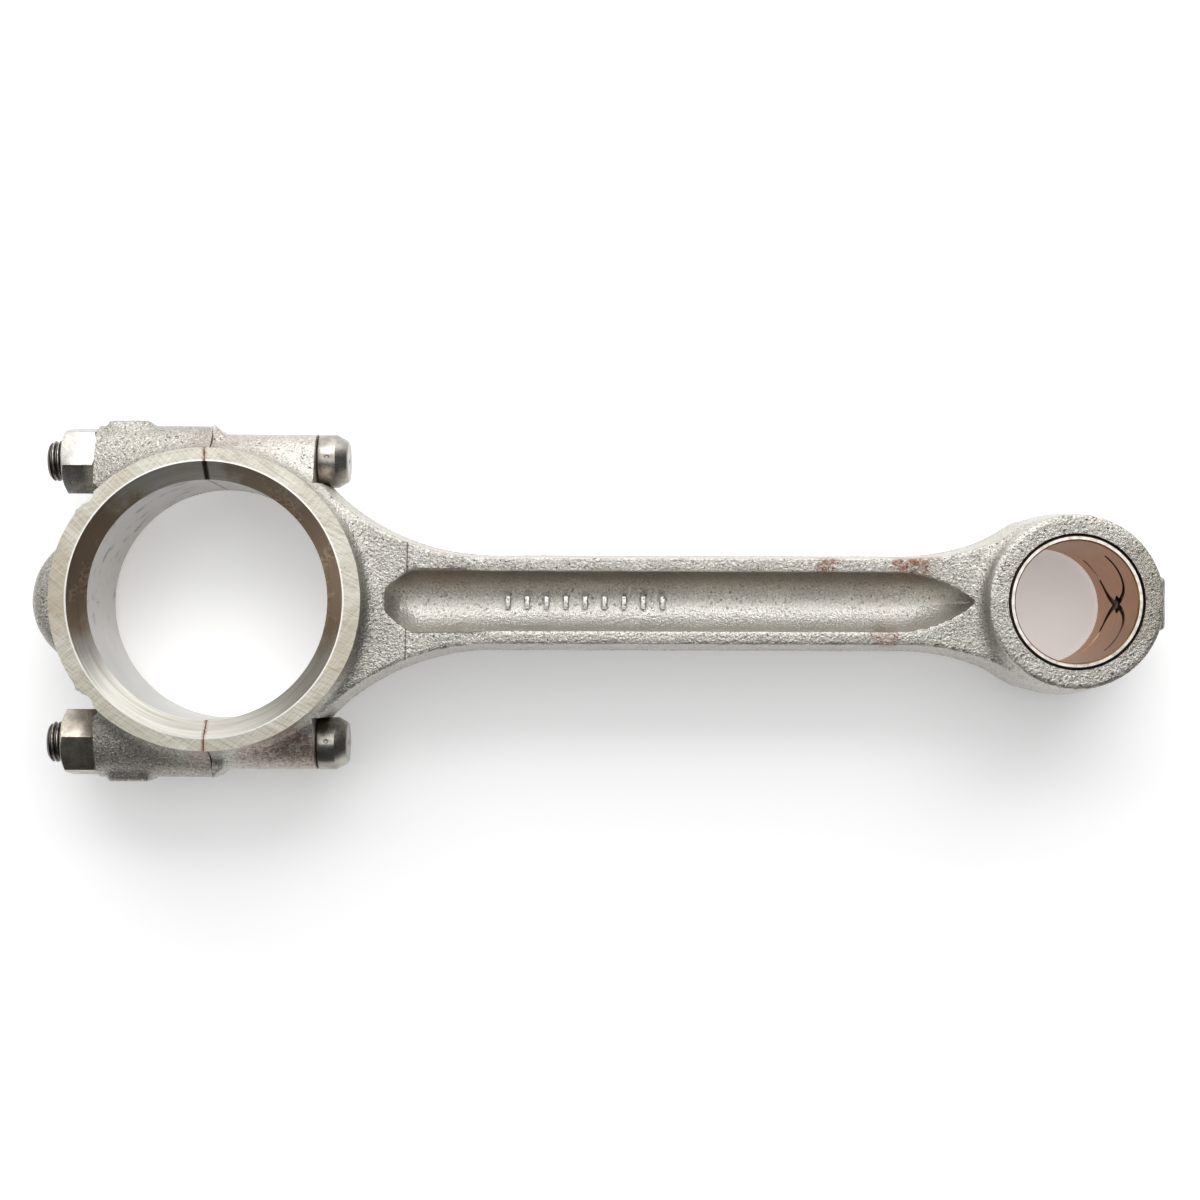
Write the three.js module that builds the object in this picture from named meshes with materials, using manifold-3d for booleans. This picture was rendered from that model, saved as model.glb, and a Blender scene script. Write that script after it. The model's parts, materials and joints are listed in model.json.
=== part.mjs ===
// Connecting rod of a small diesel engine. A forged steel rod with an H-section shank and a bushed
// small end, a big-end cap, two rod bolts with D-shaped heads and two hexagon nuts.
//
// Millimetres, +Z up. The rod lies flat on its machined end faces: the shank runs along X with the
// big end at -X, and both bores stand along Z. Each piece is first made with its crankpin axis at
// X = 0, Y = 0 and the middle of its width at Z = 0, and the whole rod is then stood on Z = 0.

import * as THREE from 'three';
import { mergeVertices } from 'three/addons/utils/BufferGeometryUtils.js';
import Module from 'manifold-3d';

const wasm = await Module();
wasm.setup();

// ---- driving dimensions ----

const CENTRES = 219.075; // crankpin axis to gudgeon pin axis
const WIDTH = 39.3; // over the machined faces of both ends
const CLEARANCE = 0.3; // between pieces that touch on the real rod

const BIG_BORE_RADIUS = 30.42; // bearing housing, made with the cap bolted on
const BIG_CHAMFER_RADIUS = 34.7; // where the wide lead-in chamfer meets the face
const BIG_CHAMFER_DEPTH = 4.3;
const RING_FACE_RADIUS = 39.2; // along the rod
const RING_FLATTENING = 0.973; // its height across the rod as a share of its length
const RING_DRAFT = 0.8; // extra radius of the forging at its die line

const SHANK_HALF_WIDTH = 12.1; // at the die line
const SHANK_DRAFT = 1.1;
const FLANGE_HALF_HEIGHT = 13.65;
const DIE_LINE_HEIGHT = 1; // of the undrafted band round the middle
const BIG_FLARE_START = 72; // along X, where the shank starts to widen
const BIG_FLARE_RADIUS = 60;
const SMALL_FLARE_RADIUS = 58;

const RECESS_START = 44.7;
const RECESS_CORNER = 54; // along X, where its sides become straight
const RECESS_TIP_START = 174;
const RECESS_END = 194.9;
const RECESS_HALF_WIDTH = 7.6;
const RECESS_FLARE = 0.9; // extra half width at the big end
const RECESS_SETTLED = 75; // along X, where the extra width has run out
const RECESS_END_POWER = 3; // above 2, a squarer end than an ellipse
const RECESS_TIP_POWER = 2; // above 1, a tip with curved sides
const RECESS_END_DEPTH = 0.35; // share of the depth that is left at both ends
const RECESS_RISE_POWER = 0.8; // how early the floor rises towards an end
const FLOOR_HALF_WIDTH = 3.2;
const WEB_HALF_THICKNESS = 3.6;
const RECESS_FILLET_HEIGHT = 7;

const EYE_FACE_RADIUS = 22;
const EYE_DRAFT = 1.6;
const EYE_EDGE = 1.2; // rounding of the forging round each end face
const EYE_BORE_RADIUS = 17.4;
const OIL_PAD_REACH = 25.5; // from the gudgeon pin axis
const OIL_PAD_HALF_WIDTH = 6.9;
const OIL_PAD_HALF_HEIGHT = 9;
const OIL_PAD_ROUNDING = 1;
const OIL_HOLE_RADIUS = 2;

const BUSH_RADIUS = EYE_BORE_RADIUS - CLEARANCE;
const BUSH_BORE_RADIUS = 15.4;
const BUSH_CHAMFER = 0.8;
const BUSH_CHAMFER_DEPTH = 1.2;
const BUSH_LEAD_IN = 0.25;
const GROOVE_RADIUS = 0.55;
const GROOVE_SWEEP = THREE.MathUtils.degToRad(50);
const GROOVE_REACH = 9.5; // along the bore, from the oil hole
const GROOVE_CURL = 0.6; // below 1, a groove leaves the hole along the bore

const BOLT_OFFSET = 36.6; // bolt axis to rod centre line
const BOLT_RADIUS = 5.3;
const BOLT_HOLE_RADIUS = BOLT_RADIUS + CLEARANCE;
const HEAD_SEAT = 26.3; // along X
const HEAD_RADIUS = 7;
const HEAD_LENGTH = 7.6;
const HEAD_CHAMFER = 1.7;
const HEAD_CHAMFER_LENGTH = 3.1;
const HEAD_FLAT = 6.6; // bolt axis to the flat that stops the bolt turning
const BOLT_END = -43.5; // along X
const BOLT_END_CHAMFER = 0.9;

const BOSS_HALF_HEIGHT = 11.65;
const BOSS_ROUNDING = 2.2;
const ROD_BOSS_HALF_SPAN = 43.5;
const CAP_BOSS_HALF_SPAN = 45.6;
const BOSS_STEP_LENGTH = 2.2; // the rod's boss slopes down from the cap's over this length
const SLOPE_HALF_HEIGHT = 8.5;
const BOSS_ROOT = 22; // inner edge of a boss, buried in the ring
const LOBE_RISE = 1; // a low swelling on the side of each cap boss
const LOBE_START = -16.5;
const LOBE_END = -27.5;
const LOBE_HALF_HEIGHT = 6.5;

const NUT_SEAT = -29.8; // along X
const NUT_LENGTH = 9.2;
const NUT_ACROSS_FLATS = 15.9;
const NUT_CHAMFER = THREE.MathUtils.degToRad(30);
const NUT_TURN_UPPER = THREE.MathUtils.degToRad(12);
const NUT_TURN_LOWER = THREE.MathUtils.degToRad(10);
const NOTCH_RADIUS = 3;
const NOTCH_CENTRE = new THREE.Vector2(-30.7, 26.9);

const CROWN_REACH = 46.6; // from the crankpin axis to the top of the pad on the cap
const CROWN_RADIUS = 17.4;
const CROWN_HALF_HEIGHT = 9.5;

const PITCH = 1.27; // twenty threads to the inch
const THREAD_START = -28.4; // along X
const THREAD_RUNOUT = 1;
const THREAD_ROOT_RADIUS = 4.65; // on the bolt
const NUT_CREST_RADIUS = 4.85;
const NUT_ROOT_RADIUS = 5.55;
const THREAD_CREST = 0.2; // width of the flat on a thread's crest
const THREAD_BASE = 0.6;

const MARK_COUNT = 9; // plain raised bars on the web
const MARK_START = 75;
const MARK_SPACING = 5;
const MARK_SIZE = new THREE.Vector3(1.4, 3.4, 0.6);

const RING_SEGMENTS = 64;
const EYE_SEGMENTS = 48;
const HOLE_SEGMENTS = 24;
const THREAD_SEGMENTS = 12; // in each turn
const ARC_SEGMENTS = 12;
const ROUNDING_SEGMENTS = 3;
const FILLET_SEGMENTS = 4;
const RECESS_STEPS = 20;
const RECESS_CROWDING = 2.2; // above 1, sections lie closer together near the ends
const RECESS_INSET = 0.02; // keeps the end sections from shrinking to nothing
const BURIED = 0.3; // how far a joined shape reaches into its neighbour
const PAST = 1; // how far a cut reaches past the face that it opens
const WELD = 1e-4; // points closer than this are one point

const HALF_WIDTH = WIDTH / 2;
const BEYOND = 60; // clear of the rod on every side, for cuts that go right through

// ---- solids ----

// A closed three.js geometry as a solid that can be joined and cut.
function solid(geometry) {
  geometry.deleteAttribute('normal');
  geometry.deleteAttribute('uv');
  const merged = mergeVertices(geometry, WELD);
  return new wasm.Manifold(new wasm.Mesh({
    numProp: 3,
    vertProperties: Float32Array.from(merged.attributes.position.array),
    triVerts: Uint32Array.from(merged.index.array),
  }));
}

function join(...solids) {
  return solids.reduce((whole, piece) => whole.add(piece));
}

function cut(whole, ...tools) {
  return tools.reduce((rest, tool) => rest.subtract(tool), whole);
}

function box(x, y, z) {
  const geometry = new THREE.BoxGeometry(x[1] - x[0], y[1] - y[0], z[1] - z[0]);
  geometry.translate((x[0] + x[1]) / 2, (y[0] + y[1]) / 2, (z[0] + z[1]) / 2);
  return solid(geometry);
}

// A solid of revolution about Z. The profile holds [radius, height] pairs.
function turnedAlongZ(profile, segments, x = 0) {
  const points = profile.map(([radius, height]) => new THREE.Vector2(radius, height));
  const geometry = new THREE.LatheGeometry(points, segments);
  geometry.rotateX(Math.PI / 2);
  geometry.translate(x, 0, 0);
  return solid(geometry);
}

// A solid of revolution about the line along X at (y, 0). The profile holds [radius, x] pairs.
function turnedAlongX(profile, segments, y = 0) {
  const points = profile.map(([radius, x]) => new THREE.Vector2(radius, x));
  const geometry = new THREE.LatheGeometry(points, segments);
  geometry.rotateZ(-Math.PI / 2);
  geometry.translate(0, y, 0);
  return solid(geometry);
}

function rodAlongX(radius, from, to, y, segments) {
  return turnedAlongX([[0, from], [radius, from], [radius, to], [0, to]], segments, y);
}

function rodAlongZ(radius, halfLength, x, segments) {
  return turnedAlongZ([[0, -halfLength], [radius, -halfLength], [radius, halfLength], [0, halfLength]],
    segments, x);
}

// A forged plate: full outline at the die line in the middle, drafted towards both faces.
function forgedPlate(outline, halfHeight, draft) {
  const geometry = new THREE.ExtrudeGeometry(outline, {
    depth: DIE_LINE_HEIGHT,
    bevelThickness: halfHeight - DIE_LINE_HEIGHT / 2,
    bevelSize: draft,
    bevelOffset: -draft,
    bevelSegments: 1,
    curveSegments: ARC_SEGMENTS,
  });
  geometry.translate(0, 0, -DIE_LINE_HEIGHT / 2);
  return solid(geometry);
}

function rectangle(x, y) {
  const corners = [[x[0], y[0]], [x[1], y[0]], [x[1], y[1]], [x[0], y[1]]];
  return new THREE.Shape(corners.map(([px, py]) => new THREE.Vector2(px, py)));
}

// A plate with straight sides and edges rounded towards both faces.
function roundedPlate(outline, halfHeight, rounding) {
  const geometry = new THREE.ExtrudeGeometry(outline, {
    depth: 2 * (halfHeight - rounding),
    bevelThickness: rounding,
    bevelSize: rounding,
    bevelOffset: -rounding,
    bevelSegments: ROUNDING_SEGMENTS,
    curveSegments: ARC_SEGMENTS,
  });
  geometry.translate(0, 0, rounding - halfHeight);
  return solid(geometry);
}

function mirrored(body) {
  return body.mirror([0, 1, 0]);
}

// ---- big end ----

function bigEndRing() {
  return turnedAlongZ([
    [0, -HALF_WIDTH],
    [RING_FACE_RADIUS, -HALF_WIDTH],
    [RING_FACE_RADIUS + RING_DRAFT, 0],
    [RING_FACE_RADIUS, HALF_WIDTH],
    [0, HALF_WIDTH],
  ], RING_SEGMENTS).scale([1, RING_FLATTENING, 1]);
}

// The bearing housing with its lead-in chamfers.
function bigEndBore() {
  const shoulder = HALF_WIDTH - BIG_CHAMFER_DEPTH;
  return turnedAlongZ([
    [0, -HALF_WIDTH - PAST],
    [BIG_CHAMFER_RADIUS, -HALF_WIDTH - PAST],
    [BIG_CHAMFER_RADIUS, -HALF_WIDTH],
    [BIG_BORE_RADIUS, -shoulder],
    [BIG_BORE_RADIUS, shoulder],
    [BIG_CHAMFER_RADIUS, HALF_WIDTH],
    [BIG_CHAMFER_RADIUS, HALF_WIDTH + PAST],
    [0, HALF_WIDTH + PAST],
  ], RING_SEGMENTS);
}

function boltHole(side) {
  return rodAlongX(BOLT_HOLE_RADIUS, -BEYOND, BEYOND, side * BOLT_OFFSET, HOLE_SEGMENTS);
}

// ---- rod ----

// Upper half of the shank's outline with both flares, from the big end to the eye.
function shankOutline() {
  const eyeRadius = EYE_FACE_RADIUS + EYE_DRAFT;
  const bigCentre = SHANK_HALF_WIDTH + BIG_FLARE_RADIUS;
  const smallCentre = SHANK_HALF_WIDTH + SMALL_FLARE_RADIUS;
  const reach = SMALL_FLARE_RADIUS + eyeRadius;
  const smallFlareStart = CENTRES - Math.sqrt(reach ** 2 - smallCentre ** 2);
  const eyeAngle = Math.asin(smallCentre / reach);
  const pocket = BOLT_OFFSET - HEAD_FLAT - CLEARANCE;
  const bigAngle = Math.acos((bigCentre - pocket) / BIG_FLARE_RADIUS);
  const root = HEAD_SEAT - BOSS_ROUNDING;
  const outline = new THREE.Shape();
  const quarter = Math.PI / 2;
  outline.moveTo(root, -pocket);
  outline.absarc(BIG_FLARE_START, -bigCentre, BIG_FLARE_RADIUS, quarter + bigAngle, quarter, true);
  outline.absarc(smallFlareStart, -smallCentre, SMALL_FLARE_RADIUS, quarter, eyeAngle, true);
  outline.lineTo(CENTRES, 0);
  outline.absarc(smallFlareStart, smallCentre, SMALL_FLARE_RADIUS, -eyeAngle, -quarter, true);
  outline.absarc(BIG_FLARE_START, bigCentre, BIG_FLARE_RADIUS, -quarter, -quarter - bigAngle, true);
  outline.lineTo(root, pocket);
  outline.closePath();
  return outline;
}

// Half width of the recess in the shank, as a share of its straight stretch.
function recessWidth(x) {
  if (x < RECESS_CORNER) {
    const toEnd = (RECESS_CORNER - x) / (RECESS_CORNER - RECESS_START);
    const flare = 1 + RECESS_FLARE / RECESS_HALF_WIDTH;
    return flare * Math.sqrt(Math.max(1 - toEnd ** RECESS_END_POWER, 0));
  }
  const settled = Math.min((x - RECESS_CORNER) / (RECESS_SETTLED - RECESS_CORNER), 1);
  const flare = 1 + (1 - settled) ** 2 * RECESS_FLARE / RECESS_HALF_WIDTH;
  const toTip = Math.max(x - RECESS_TIP_START, 0) / (RECESS_END - RECESS_TIP_START);
  return flare * (1 - toTip ** RECESS_TIP_POWER);
}

// The recess on the upper side: a trough with a rounded end and a pointed end.
function recess() {
  const top = HALF_WIDTH;
  const floor = WEB_HALF_THICKNESS;
  const section = new THREE.Shape();
  section.moveTo(-RECESS_HALF_WIDTH, top);
  section.lineTo(-RECESS_HALF_WIDTH, floor + RECESS_FILLET_HEIGHT);
  section.absellipse(-FLOOR_HALF_WIDTH, floor + RECESS_FILLET_HEIGHT,
    RECESS_HALF_WIDTH - FLOOR_HALF_WIDTH, RECESS_FILLET_HEIGHT, Math.PI, 1.5 * Math.PI);
  section.absellipse(FLOOR_HALF_WIDTH, floor + RECESS_FILLET_HEIGHT,
    RECESS_HALF_WIDTH - FLOOR_HALF_WIDTH, RECESS_FILLET_HEIGHT, 1.5 * Math.PI, 2 * Math.PI);
  section.lineTo(RECESS_HALF_WIDTH, top);
  const geometry = new THREE.ExtrudeGeometry(section, {
    depth: 1,
    steps: RECESS_STEPS,
    bevelEnabled: false,
    curveSegments: FILLET_SEGMENTS,
  });
  const place = geometry.attributes.position;
  const middle = (RECESS_START + RECESS_END) / 2;
  const halfLength = (RECESS_END - RECESS_START) / 2 - RECESS_INSET;
  for (let i = 0; i < place.count; i += 1) {
    const share = 2 * place.getZ(i) - 1;
    const spread = Math.sign(share) * (1 - (1 - Math.abs(share)) ** RECESS_CROWDING);
    const x = middle + halfLength * spread;
    const width = recessWidth(x);
    const rise = Math.min(width, 1) ** RECESS_RISE_POWER;
    const depth = THREE.MathUtils.lerp(RECESS_END_DEPTH, 1, rise);
    const y = place.getX(i) * width;
    place.setXYZ(i, x, y, top - (top - place.getY(i)) * depth);
  }
  return solid(geometry);
}

// The boss for a rod bolt on the rod's side of the joint, with the slope up to the cap's boss.
function rodBoss() {
  const boss = roundedPlate(rectangle([-BOSS_ROUNDING, HEAD_SEAT], [BOSS_ROOT, ROD_BOSS_HALF_SPAN]),
    BOSS_HALF_HEIGHT, BOSS_ROUNDING);
  const slope = new THREE.Shape([
    new THREE.Vector2(-BOSS_ROUNDING, ROD_BOSS_HALF_SPAN - BURIED),
    new THREE.Vector2(BOSS_STEP_LENGTH + BURIED, ROD_BOSS_HALF_SPAN - BURIED),
    new THREE.Vector2(0, CAP_BOSS_HALF_SPAN),
    new THREE.Vector2(-BOSS_ROUNDING, CAP_BOSS_HALF_SPAN),
  ]);
  const geometry = new THREE.ExtrudeGeometry(slope, { depth: 2 * SLOPE_HALF_HEIGHT, bevelEnabled: false });
  geometry.translate(0, 0, -SLOPE_HALF_HEIGHT);
  const headEnd = box([HEAD_SEAT - BOSS_ROUNDING - BURIED, HEAD_SEAT],
    [BOSS_ROOT, ROD_BOSS_HALF_SPAN], [-BOSS_HALF_HEIGHT, BOSS_HALF_HEIGHT]);
  return join(boss, solid(geometry), headEnd);
}

function eye() {
  return turnedAlongZ([
    [0, -HALF_WIDTH],
    [EYE_FACE_RADIUS - EYE_EDGE, -HALF_WIDTH],
    [EYE_FACE_RADIUS, EYE_EDGE - HALF_WIDTH],
    [EYE_FACE_RADIUS + EYE_DRAFT, 0],
    [EYE_FACE_RADIUS, HALF_WIDTH - EYE_EDGE],
    [EYE_FACE_RADIUS - EYE_EDGE, HALF_WIDTH],
    [0, HALF_WIDTH],
  ], EYE_SEGMENTS, CENTRES);
}

function oilPad() {
  const outline = rectangle([CENTRES, CENTRES + OIL_PAD_REACH],
    [-OIL_PAD_HALF_WIDTH, OIL_PAD_HALF_WIDTH]);
  return roundedPlate(outline, OIL_PAD_HALF_HEIGHT, OIL_PAD_ROUNDING);
}

function oilHole() {
  return rodAlongX(OIL_HOLE_RADIUS, CENTRES, CENTRES + BEYOND, 0, ARC_SEGMENTS);
}

// Plain raised bars on the floor of the recess.
function forgingMarks() {
  const bars = [];
  for (let i = 0; i < MARK_COUNT; i += 1) {
    const x = MARK_START + i * MARK_SPACING;
    bars.push(box([x, x + MARK_SIZE.x], [-MARK_SIZE.y / 2, MARK_SIZE.y / 2],
      [WEB_HALF_THICKNESS - BURIED, WEB_HALF_THICKNESS + MARK_SIZE.z]));
  }
  return join(...bars);
}

function rodBody() {
  const boss = rodBoss();
  const forging = join(bigEndRing(), forgedPlate(shankOutline(), FLANGE_HALF_HEIGHT, SHANK_DRAFT),
    boss, mirrored(boss), eye(), oilPad());
  const trough = recess();
  const pocket = box([HEAD_SEAT, BEYOND], [BOLT_OFFSET - HEAD_FLAT - CLEARANCE, BEYOND],
    [-BEYOND, BEYOND]);
  const capSide = box([-2 * BEYOND, CLEARANCE / 2], [-BEYOND, BEYOND], [-BEYOND, BEYOND]);
  const machined = cut(forging, trough, trough.mirror([0, 0, 1]), capSide, bigEndBore(),
    rodAlongZ(EYE_BORE_RADIUS, BEYOND, CENTRES, EYE_SEGMENTS), boltHole(1), boltHole(-1),
    pocket, mirrored(pocket), oilHole());
  return join(machined, forgingMarks());
}

// ---- big-end cap ----

function capBoss() {
  const ends = [NUT_SEAT - BOSS_ROUNDING, BOSS_ROUNDING];
  const boss = roundedPlate(rectangle(ends, [BOSS_ROOT, CAP_BOSS_HALF_SPAN]),
    BOSS_HALF_HEIGHT, BOSS_ROUNDING);
  const lobe = rectangle([LOBE_END, LOBE_START], [CAP_BOSS_HALF_SPAN - 2 * LOBE_RISE,
    CAP_BOSS_HALF_SPAN + LOBE_RISE]);
  return join(boss, roundedPlate(lobe, LOBE_HALF_HEIGHT, LOBE_RISE));
}

// The thick pad on the crown of the cap.
function crownPad() {
  const outline = new THREE.Shape();
  outline.absarc(CROWN_RADIUS - CROWN_REACH, 0, CROWN_RADIUS, 0, 2 * Math.PI);
  return roundedPlate(outline, CROWN_HALF_HEIGHT, BOSS_ROUNDING);
}

// Metal milled away for a nut's seat, with the nick that the cutter leaves in the ring.
function nutSeatCut() {
  const seat = box([-BEYOND, NUT_SEAT], [NOTCH_CENTRE.y, BEYOND], [-BEYOND, BEYOND]);
  const nick = rodAlongZ(NOTCH_RADIUS, BEYOND, NOTCH_CENTRE.x, HOLE_SEGMENTS);
  return join(seat, nick.translate([0, NOTCH_CENTRE.y, 0]));
}

function bigEndCap() {
  const boss = capBoss();
  const seat = nutSeatCut();
  const rodSide = box([-CLEARANCE / 2, 2 * BEYOND], [-BEYOND, BEYOND], [-BEYOND, BEYOND]);
  const forging = join(bigEndRing(), boss, mirrored(boss), crownPad());
  return cut(forging, rodSide, bigEndBore(), boltHole(1), boltHole(-1), seat, mirrored(seat));
}

// ---- small-end bush ----

// One oil groove, lying on the bore and curving away from the oil hole.
class GrooveCurve extends THREE.Curve {
  constructor(sideways, upwards) {
    super();
    this.sideways = sideways;
    this.upwards = upwards;
  }

  getPoint(t, target = new THREE.Vector3()) {
    const angle = this.sideways * GROOVE_SWEEP * t;
    const height = this.upwards * GROOVE_REACH * Math.sin(t * Math.PI / 2) ** GROOVE_CURL;
    return target.set(CENTRES + BUSH_BORE_RADIUS * Math.cos(angle),
      BUSH_BORE_RADIUS * Math.sin(angle), height);
  }
}

function oilGroove(sideways, upwards) {
  const section = new THREE.Shape();
  section.absarc(0, 0, GROOVE_RADIUS, 0, 2 * Math.PI);
  return solid(new THREE.ExtrudeGeometry(section, {
    steps: ARC_SEGMENTS,
    curveSegments: FILLET_SEGMENTS,
    extrudePath: new GrooveCurve(sideways, upwards),
  }));
}

function smallEndBush() {
  const shoulder = HALF_WIDTH - BUSH_CHAMFER_DEPTH;
  const blank = turnedAlongZ([
    [0, -HALF_WIDTH],
    [BUSH_RADIUS - BUSH_CHAMFER, -HALF_WIDTH],
    [BUSH_RADIUS, -shoulder],
    [BUSH_RADIUS, shoulder],
    [BUSH_RADIUS - BUSH_CHAMFER, HALF_WIDTH],
    [0, HALF_WIDTH],
  ], EYE_SEGMENTS, CENTRES);
  const bore = turnedAlongZ([
    [0, -HALF_WIDTH - PAST],
    [BUSH_BORE_RADIUS + BUSH_LEAD_IN, -HALF_WIDTH - PAST],
    [BUSH_BORE_RADIUS + BUSH_LEAD_IN, -HALF_WIDTH],
    [BUSH_BORE_RADIUS, BUSH_LEAD_IN - HALF_WIDTH],
    [BUSH_BORE_RADIUS, HALF_WIDTH - BUSH_LEAD_IN],
    [BUSH_BORE_RADIUS + BUSH_LEAD_IN, HALF_WIDTH],
    [BUSH_BORE_RADIUS + BUSH_LEAD_IN, HALF_WIDTH + PAST],
    [0, HALF_WIDTH + PAST],
  ], EYE_SEGMENTS, CENTRES);
  const grooves = [[1, 1], [1, -1], [-1, 1], [-1, -1]].map(([s, u]) => oilGroove(s, u));
  return cut(blank, bore, oilHole(), ...grooves);
}

// ---- threads ----

// The middle line of a right-hand thread along X, whose frames stay square to the axis.
class ThreadHelix extends THREE.Curve {
  constructor(radius, start, turns) {
    super();
    this.radius = radius;
    this.start = start;
    this.turns = turns;
  }

  getPoint(t, target = new THREE.Vector3()) {
    const angle = 2 * Math.PI * this.turns * t;
    return target.set(this.start + PITCH * this.turns * t,
      this.radius * Math.cos(angle), this.radius * Math.sin(angle));
  }

  computeFrenetFrames(segments) {
    const frames = { tangents: [], normals: [], binormals: [] };
    for (let i = 0; i <= segments; i += 1) {
      const angle = 2 * Math.PI * this.turns * i / segments;
      frames.tangents.push(new THREE.Vector3(0, -Math.sin(angle), Math.cos(angle)));
      frames.normals.push(new THREE.Vector3(0, Math.cos(angle), Math.sin(angle)));
      frames.binormals.push(new THREE.Vector3(-1, 0, 0));
    }
    return frames;
  }
}

// The raised ridge of a thread from one radius to another, about the line along X at y = 0.
function threadRidge(baseRadius, crestRadius, start, turns) {
  const rise = crestRadius - baseRadius;
  const section = new THREE.Shape([
    new THREE.Vector2(-Math.sign(rise) * BURIED, -THREAD_BASE / 2),
    new THREE.Vector2(0, -THREAD_BASE / 2),
    new THREE.Vector2(rise, -THREAD_CREST / 2),
    new THREE.Vector2(rise, THREAD_CREST / 2),
    new THREE.Vector2(0, THREAD_BASE / 2),
    new THREE.Vector2(-Math.sign(rise) * BURIED, THREAD_BASE / 2),
  ]);
  return solid(new THREE.ExtrudeGeometry(section, {
    steps: turns * THREAD_SEGMENTS,
    extrudePath: new ThreadHelix(baseRadius, start, turns),
  }));
}

// ---- rod bolts ----

function rodBolt(side) {
  const underHead = HEAD_SEAT + CLEARANCE;
  const headEnd = underHead + HEAD_LENGTH;
  const y = side * BOLT_OFFSET;
  const turns = Math.ceil((THREAD_START - BOLT_END) / PITCH) + 1;
  const ridge = threadRidge(THREAD_ROOT_RADIUS, BOLT_RADIUS, BOLT_END - PITCH, turns);
  const envelope = turnedAlongX([
    [0, BOLT_END],
    [BOLT_RADIUS - BOLT_END_CHAMFER, BOLT_END],
    [BOLT_RADIUS + BURIED, BOLT_END + BOLT_END_CHAMFER + BURIED],
    [BOLT_RADIUS + BURIED, THREAD_START],
    [0, THREAD_START],
  ], HOLE_SEGMENTS);
  const core = rodAlongX(THREAD_ROOT_RADIUS, BOLT_END - PITCH, THREAD_START, 0, THREAD_SEGMENTS);
  const threaded = join(core, ridge).intersect(envelope).translate([0, y, 0]);
  const shank = turnedAlongX([
    [0, THREAD_START - BURIED],
    [THREAD_ROOT_RADIUS, THREAD_START - BURIED],
    [BOLT_RADIUS, THREAD_START + THREAD_RUNOUT],
    [BOLT_RADIUS, underHead + BURIED],
    [0, underHead + BURIED],
  ], HOLE_SEGMENTS, y);
  const head = turnedAlongX([
    [0, underHead],
    [HEAD_RADIUS, underHead],
    [HEAD_RADIUS, headEnd - HEAD_CHAMFER_LENGTH],
    [HEAD_RADIUS - HEAD_CHAMFER, headEnd],
    [0, headEnd],
  ], 2 * HOLE_SEGMENTS, y);
  const flat = box([underHead - PAST, headEnd + PAST], [-BEYOND, BOLT_OFFSET - HEAD_FLAT],
    [-BEYOND, BEYOND]);
  return join(threaded, shank, cut(head, side > 0 ? flat : mirrored(flat)));
}

// ---- nuts ----

function rodNut(side, turn) {
  const inner = NUT_SEAT - CLEARANCE;
  const outer = inner - NUT_LENGTH;
  const cornerRadius = NUT_ACROSS_FLATS / Math.sqrt(3);
  const flatRadius = NUT_ACROSS_FLATS / 2;
  const chamferLength = (cornerRadius - flatRadius) * Math.tan(NUT_CHAMFER);
  const hexagon = new THREE.CylinderGeometry(cornerRadius, cornerRadius, NUT_LENGTH, 6);
  hexagon.rotateZ(Math.PI / 2);
  hexagon.rotateX(turn);
  hexagon.translate((inner + outer) / 2, 0, 0);
  const envelope = turnedAlongX([
    [0, outer],
    [flatRadius, outer],
    [cornerRadius, outer + chamferLength],
    [cornerRadius, inner - chamferLength],
    [flatRadius, inner],
    [0, inner],
  ], HOLE_SEGMENTS);
  const lead = NUT_ROOT_RADIUS - NUT_CREST_RADIUS;
  const bore = turnedAlongX([
    [0, outer - PAST],
    [NUT_ROOT_RADIUS + lead, outer - PAST],
    [NUT_ROOT_RADIUS + lead, outer],
    [NUT_ROOT_RADIUS, outer + lead],
    [NUT_ROOT_RADIUS, inner - lead],
    [NUT_ROOT_RADIUS + lead, inner],
    [NUT_ROOT_RADIUS + lead, inner + PAST],
    [0, inner + PAST],
  ], THREAD_SEGMENTS);
  const threadStart = BOLT_END - PITCH / 2;
  const turns = Math.ceil((inner - threadStart) / PITCH) + 1;
  const ridge = threadRidge(NUT_ROOT_RADIUS, NUT_CREST_RADIUS, threadStart, turns);
  const threadSpan = box([outer + lead, inner - lead], [-BEYOND, BEYOND], [-BEYOND, BEYOND]);
  const blank = cut(solid(hexagon).intersect(envelope), bore);
  return join(blank, ridge.intersect(threadSpan)).translate([0, side * BOLT_OFFSET, 0]);
}

// ---- assembly ----

function steel(name, color, roughness) {
  return new THREE.MeshStandardMaterial({ name, color, roughness, metalness: 1 });
}

function piece(name, body, material) {
  const { vertProperties, triVerts } = body.getMesh();
  const geometry = new THREE.BufferGeometry();
  geometry.setAttribute('position', new THREE.BufferAttribute(vertProperties, 3));
  geometry.setIndex(new THREE.BufferAttribute(triVerts, 1));
  geometry.computeVertexNormals();
  const mesh = new THREE.Mesh(geometry, material);
  mesh.name = name;
  return mesh;
}

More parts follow.
